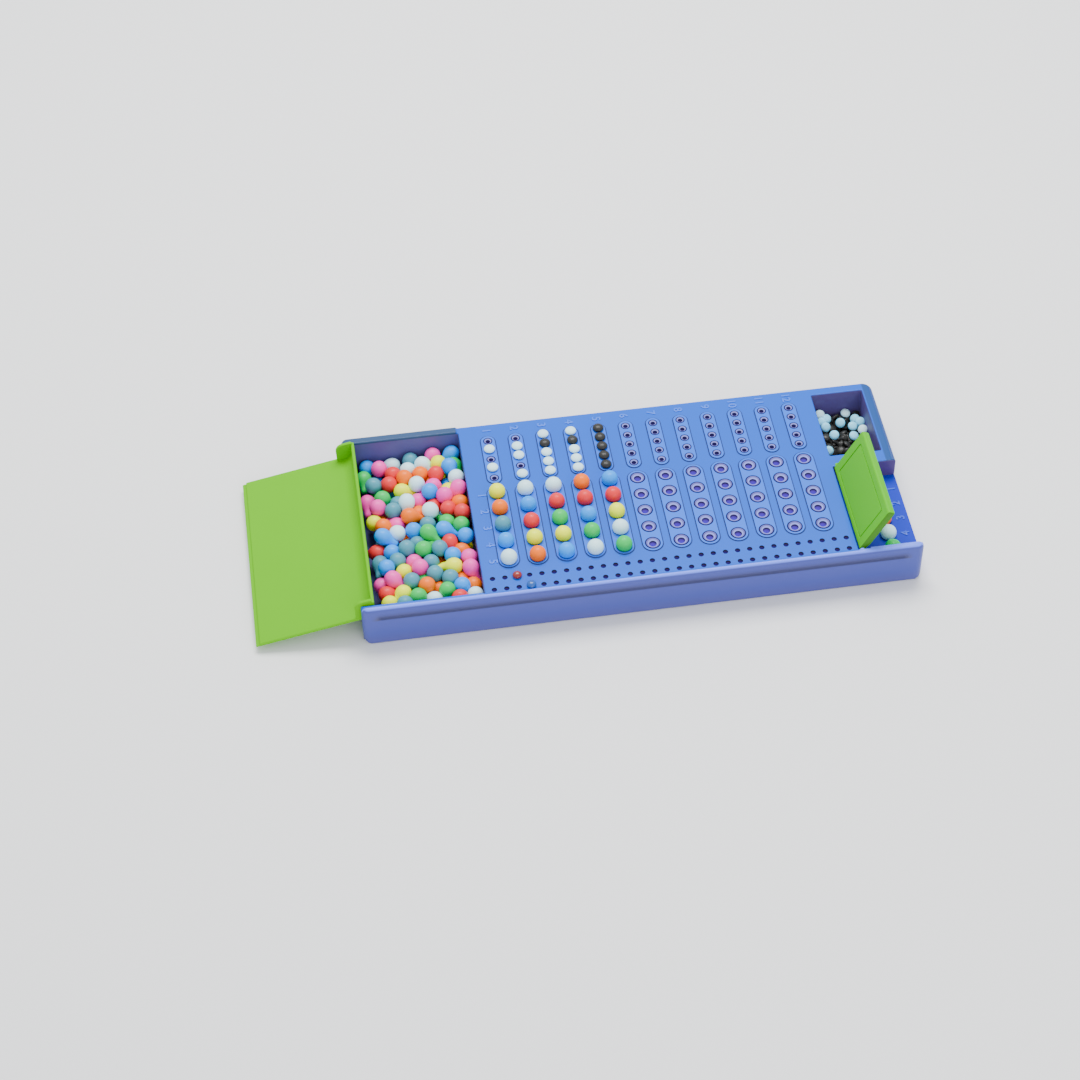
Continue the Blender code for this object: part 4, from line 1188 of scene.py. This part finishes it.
def turnedCopies(points, places, axes, random):
    # the peg's points stand along -z from its head, so -z is laid along each axis
    flat = np.cross(axes, random.normal(size=axes.shape))
    flat /= np.linalg.norm(flat, axis=1)[:, None]
    side = np.cross(-axes, flat)
    frameRows = np.stack([flat, side, -axes], 1)
    return places[:, None, :] + np.einsum("pk,nkj->npj", points, frameRows)


def addHeap(heap, places, axes, colours, random):
    # one piece of a heap for each colour, from the coarse cage of a peg that a Subdivision Surface rounds
    kind = heap["kind"]
    points, faces = turnedSolid(kind["cage"], kind["sides"])
    copies = turnedCopies(points, places, axes, random)
    colours = np.array(colours)
    for colour in sorted(set(colours.tolist())):
        heapPoints, heapFaces = merged([(peg, faces) for peg in copies[colours == colour]])
        slot = "peg_" + colour if colour in slotColours else "peg_mix"
        piece = addPiece(f"{heap['name']}_{colour}", heapPoints, heapFaces, pegPlastic[colour], "board",
                         slot, 180, replaces=(heap["node"],))
        smooth = piece.modifiers.new("smooth", "SUBSURF")
        smooth.levels = smooth.render_levels = 1


def codeSurface(x, y):
    # height of the top layer's ball centres: lower towards the back, most of all by the lid
    back = np.clip((y + 15) / 75, 0, 1)
    right = np.clip((x + 140) / 45, 0, 1) * 0.6
    return 19.5 - 7.5 * back * (1 - right)


def keySurface(x, y):
    # height of the top layer's heads: higher towards the left
    return 12.5 + 2.0 * np.clip((150 - x) / 20, -0.5, 1)


slotColours = ("white", "sky", "red", "orange", "yellow", "green", "grey", "black")

# each kind of spare peg: its spheres along the shank, and the cage it is drawn with
codeKind = {
    "offsets": (0.0, 5.4, 8.3), "radii": (4.95, 2.6, 2.05), "cover": 8.5, "scatter": 0.45, "sides": 10,
    "cage": [
        (0, 5.35), (3.55, 4.35), (5.75, 1.0), (5.1, -2.9), (2.75, -5.3), (2.2, -7.6), (2.15, -10.0),
        (0, -10.75),
    ],
}
keyKind = {
    "offsets": (0.0, 2.6, 5.2), "radii": (2.4, 1.3, 1.15), "cover": 2.5, "scatter": 0.25, "sides": 8,
    "cage": [
        (0, 1.5), (2.3, 1.35), (3.65, 0.2), (3.4, -0.9), (1.35, -1.1), (1.2, -3.4), (1.2, -6.0), (0, -6.4),
    ],
}
codeHeap = {
    "name": "code_heap", "node": "code_peg_heap", "kind": codeKind, "seen": seenCodePegs, "plane": 20.0,
    "surface": codeSurface, "limits": ((-163, -66, 2), (-93.4, 66, 26.2)),
    "inner": ((-151, -65, 2), (-94, 55, 15)), "unseen": 66,
    "palette": ("white", "sky", "red", "orange", "yellow", "green", "grey", "pink"),
    "lidGap": 8.5, "seed": 7, "steps": 260,
}
keyHeap = {
    "name": "key_heap", "node": "key_peg_heap", "kind": keyKind, "seen": seenKeyPegs, "plane": 13.0,
    "surface": keySurface, "limits": ((127.2, 12.0, 2), (158.9, 64.8, 19)),
    "inner": ((127.2, 12.0, 2), (158.9, 64.8, 17)), "unseen": 105, "palette": ("black",),
    "lidGap": 0, "seed": 11, "steps": 200,
}


def makeHeap(heap):
    # the seen pegs start on their lines of sight at the surface's height, the others anywhere in the
    # inner box under it, and all settle
    kind, surface, plane, unseen = heap["kind"], heap["surface"], heap["plane"], heap["unseen"]
    random = np.random.default_rng(heap["seed"])
    colours, anchors, bearings = readSeen(heap["seen"], plane)
    rays = anchors - cameraPlace
    rays /= np.linalg.norm(rays, axis=1)[:, None]
    climb = (surface(anchors[:, 0], anchors[:, 1]) - plane) / rays[:, 2]
    places = anchors + rays * climb[:, None]
    shown = np.isfinite(bearings)
    angle = np.radians(np.where(shown, bearings, 0))
    lying = np.column_stack([np.cos(angle), np.sin(angle), np.full(len(angle), -0.25)])
    hidden = random.normal(size=(len(angle), 3)) * kind["scatter"] + rays + np.array([0, 0, -0.4])
    axes = np.where(shown[:, None], lying, hidden)
    low, high = (np.array(limit, float) for limit in heap["inner"])
    margin, lowest = 3, low[2] + kind["radii"][0]
    extra = low + margin + random.random((unseen, 3)) * (high - low - 2 * margin)
    cover = surface(extra[:, 0], extra[:, 1]) - kind["cover"]
    extra[:, 2] = lowest + random.random(unseen) * np.maximum(cover - lowest, 0.5)
    colours = colours + list(random.choice(heap["palette"], unseen))
    places = np.concatenate([places, extra])
    axes = np.concatenate([axes, random.normal(size=(unseen, 3))])
    axes /= np.linalg.norm(axes, axis=1)[:, None]
    places, axes, over = settle(places, axes, heap, anchors, rays)
    print(heap["name"], len(places), "pegs, deepest overlap", round(over, 2))
    addHeap(heap, places, axes, colours, random)


makeHeap(codeHeap)
makeHeap(keyHeap)
print("spare pegs settled")


# raised numbers

digits = {
    "size": 7.2, "rise": 0.5, "lift": 0.1, "bevel": 0.09, "bolder": 0.12, "rowsY": 65.2, "placesX": -85.6,
    "answersX": 161.2, "answersY": (-9.4, -21.6, -33.6, -46.4, -58.0),
}


def digitPart(word, x, y, height, turn):
    # plain digits as text made mesh, turned by the angle turn in degrees about z and moved to x, y
    curve = bpy.data.curves.new("digits", "FONT")
    curve.body = word
    curve.size = digits["size"]
    curve.align_x, curve.align_y = "CENTER", "CENTER"
    curve.extrude = digits["rise"] / 2
    curve.bevel_depth = digits["bevel"]
    curve.offset = digits["bolder"]
    curve.bevel_resolution = 1
    curve.resolution_u = 5
    holder = bpy.data.objects.new("digits", curve)
    scene.collection.objects.link(holder)
    mesh = bpy.data.meshes.new_from_object(holder.evaluated_get(bpy.context.evaluated_depsgraph_get()))
    flat = np.empty(len(mesh.vertices) * 3)
    mesh.vertices.foreach_get("co", flat)
    flat = flat.reshape(-1, 3)
    cos, sin = math.cos(math.radians(turn)), math.sin(math.radians(turn))
    points = np.column_stack([
        x + flat[:, 0] * cos - flat[:, 1] * sin, y + flat[:, 0] * sin + flat[:, 1] * cos,
        height + flat[:, 2],
    ])
    faces = [np.array(polygon.vertices[:]) for polygon in mesh.polygons]
    bpy.data.objects.remove(holder)
    bpy.data.meshes.remove(mesh)
    bpy.data.curves.remove(curve)
    return points, faces


def makeNumbers():
    # 1 to 12 along the rows, 1 to 5 beside the first row, and 1 to 5 beside the shelf's sockets
    deck = [(n, x, digits["rowsY"]) for n, x in enumerate(codeXs, 1)]
    deck += [(n, digits["placesX"], y) for n, y in enumerate(codeYs, 1)]
    shelfPlaces = [(n, digits["answersX"], y) for n, y in enumerate(digits["answersY"], 1)]
    for name, places, top, turn, material in (
        ("deck_numbers", deck, board["deckTop"], -90, numberPlastic),
        ("shelf_numbers", shelfPlaces, board["shelfTop"], 90, shelfNumberPlastic),
    ):
        parts = [digitPart(str(n), x, y, top + digits["lift"], turn) for n, x, y in places]
        addPiece(name, *merged(parts), material, "board", "board_plastic", 30)


makeNumbers()
print("numbers made")


# floor, light and camera

studio = {
    "floor": (0.86, 0.86, 0.855), "floorRoughness": 0.75, "floorHalf": 6.0,
    "sky": (0.93, 0.96, 1.0), "skyStrength": 1.15, "target": (0, 0, 0.02),
    # place, size, power and colour of each lamp
    "key": ((0.05, 0.6, 1.4), (1.1, 0.7), 35, (1, 1, 1)),
    "front_fill": ((0.3, -1.2, 0.7), (1.2, 0.6), 6.5, (0.93, 0.92, 1.0)),
}
view = {
    "sensor": 36, "lens": 83.33, "shift": (-0.0556, -0.0231), "clip": (0.05, 20),
    "turn": (43.346, 0, -8.985),
}


def makeStage():
    # a wide flat floor that isn't part of the object
    floor, _, _, shader = nodeMaterial("pale_floor")
    shader.inputs["Base Color"].default_value = (*studio["floor"], 1)
    shader.inputs["Roughness"].default_value = studio["floorRoughness"]
    mesh = bpy.data.meshes.new("floor")
    side = studio["floorHalf"]
    corners = [(-side, -side, 0), (side, -side, 0), (side, side, 0), (-side, side, 0)]
    mesh.from_pydata(corners, [], [(0, 1, 2, 3)])
    ground = bpy.data.objects.new("floor", mesh)
    mesh.materials.append(floor)
    scene.collection.objects.link(ground)


def areaLight(name, place, size, power, colour):
    # place and size in metres; the lamp faces the studio's target
    data = bpy.data.lights.new(name, "AREA")
    data.shape = "RECTANGLE"
    data.size, data.size_y = size
    data.energy = power
    data.color = colour
    lamp = bpy.data.objects.new(name, data)
    scene.collection.objects.link(lamp)
    lamp.location = place
    away = np.array(place) - np.array(studio["target"])
    flat = math.hypot(away[0], away[1])
    lamp.rotation_euler = (math.atan2(flat, away[2]), 0, math.atan2(away[1], away[0]) + math.pi / 2)


def makeLight():
    # an even pale sky and two lamps
    world = bpy.data.worlds.new("studio")
    scene.world = world
    world.use_nodes = True
    background = world.node_tree.nodes["Background"]
    background.inputs["Color"].default_value = (*studio["sky"], 1)
    background.inputs["Strength"].default_value = studio["skyStrength"]
    for name in ("key", "front_fill"):
        areaLight(name, *studio[name])


def makeCamera():
    # the photo's own place and lens
    data = bpy.data.cameras.new("camera")
    data.sensor_width = view["sensor"]
    data.lens = view["lens"]
    data.shift_x, data.shift_y = view["shift"]
    data.clip_start, data.clip_end = view["clip"]
    camera = bpy.data.objects.new("camera", data)
    scene.collection.objects.link(camera)
    camera.location = cameraPlace * mm
    camera.rotation_euler = [math.radians(angle) for angle in view["turn"]]
    scene.camera = camera


makeStage()
makeLight()
makeCamera()

bpy.context.view_layer.update()
print("pieces ready")
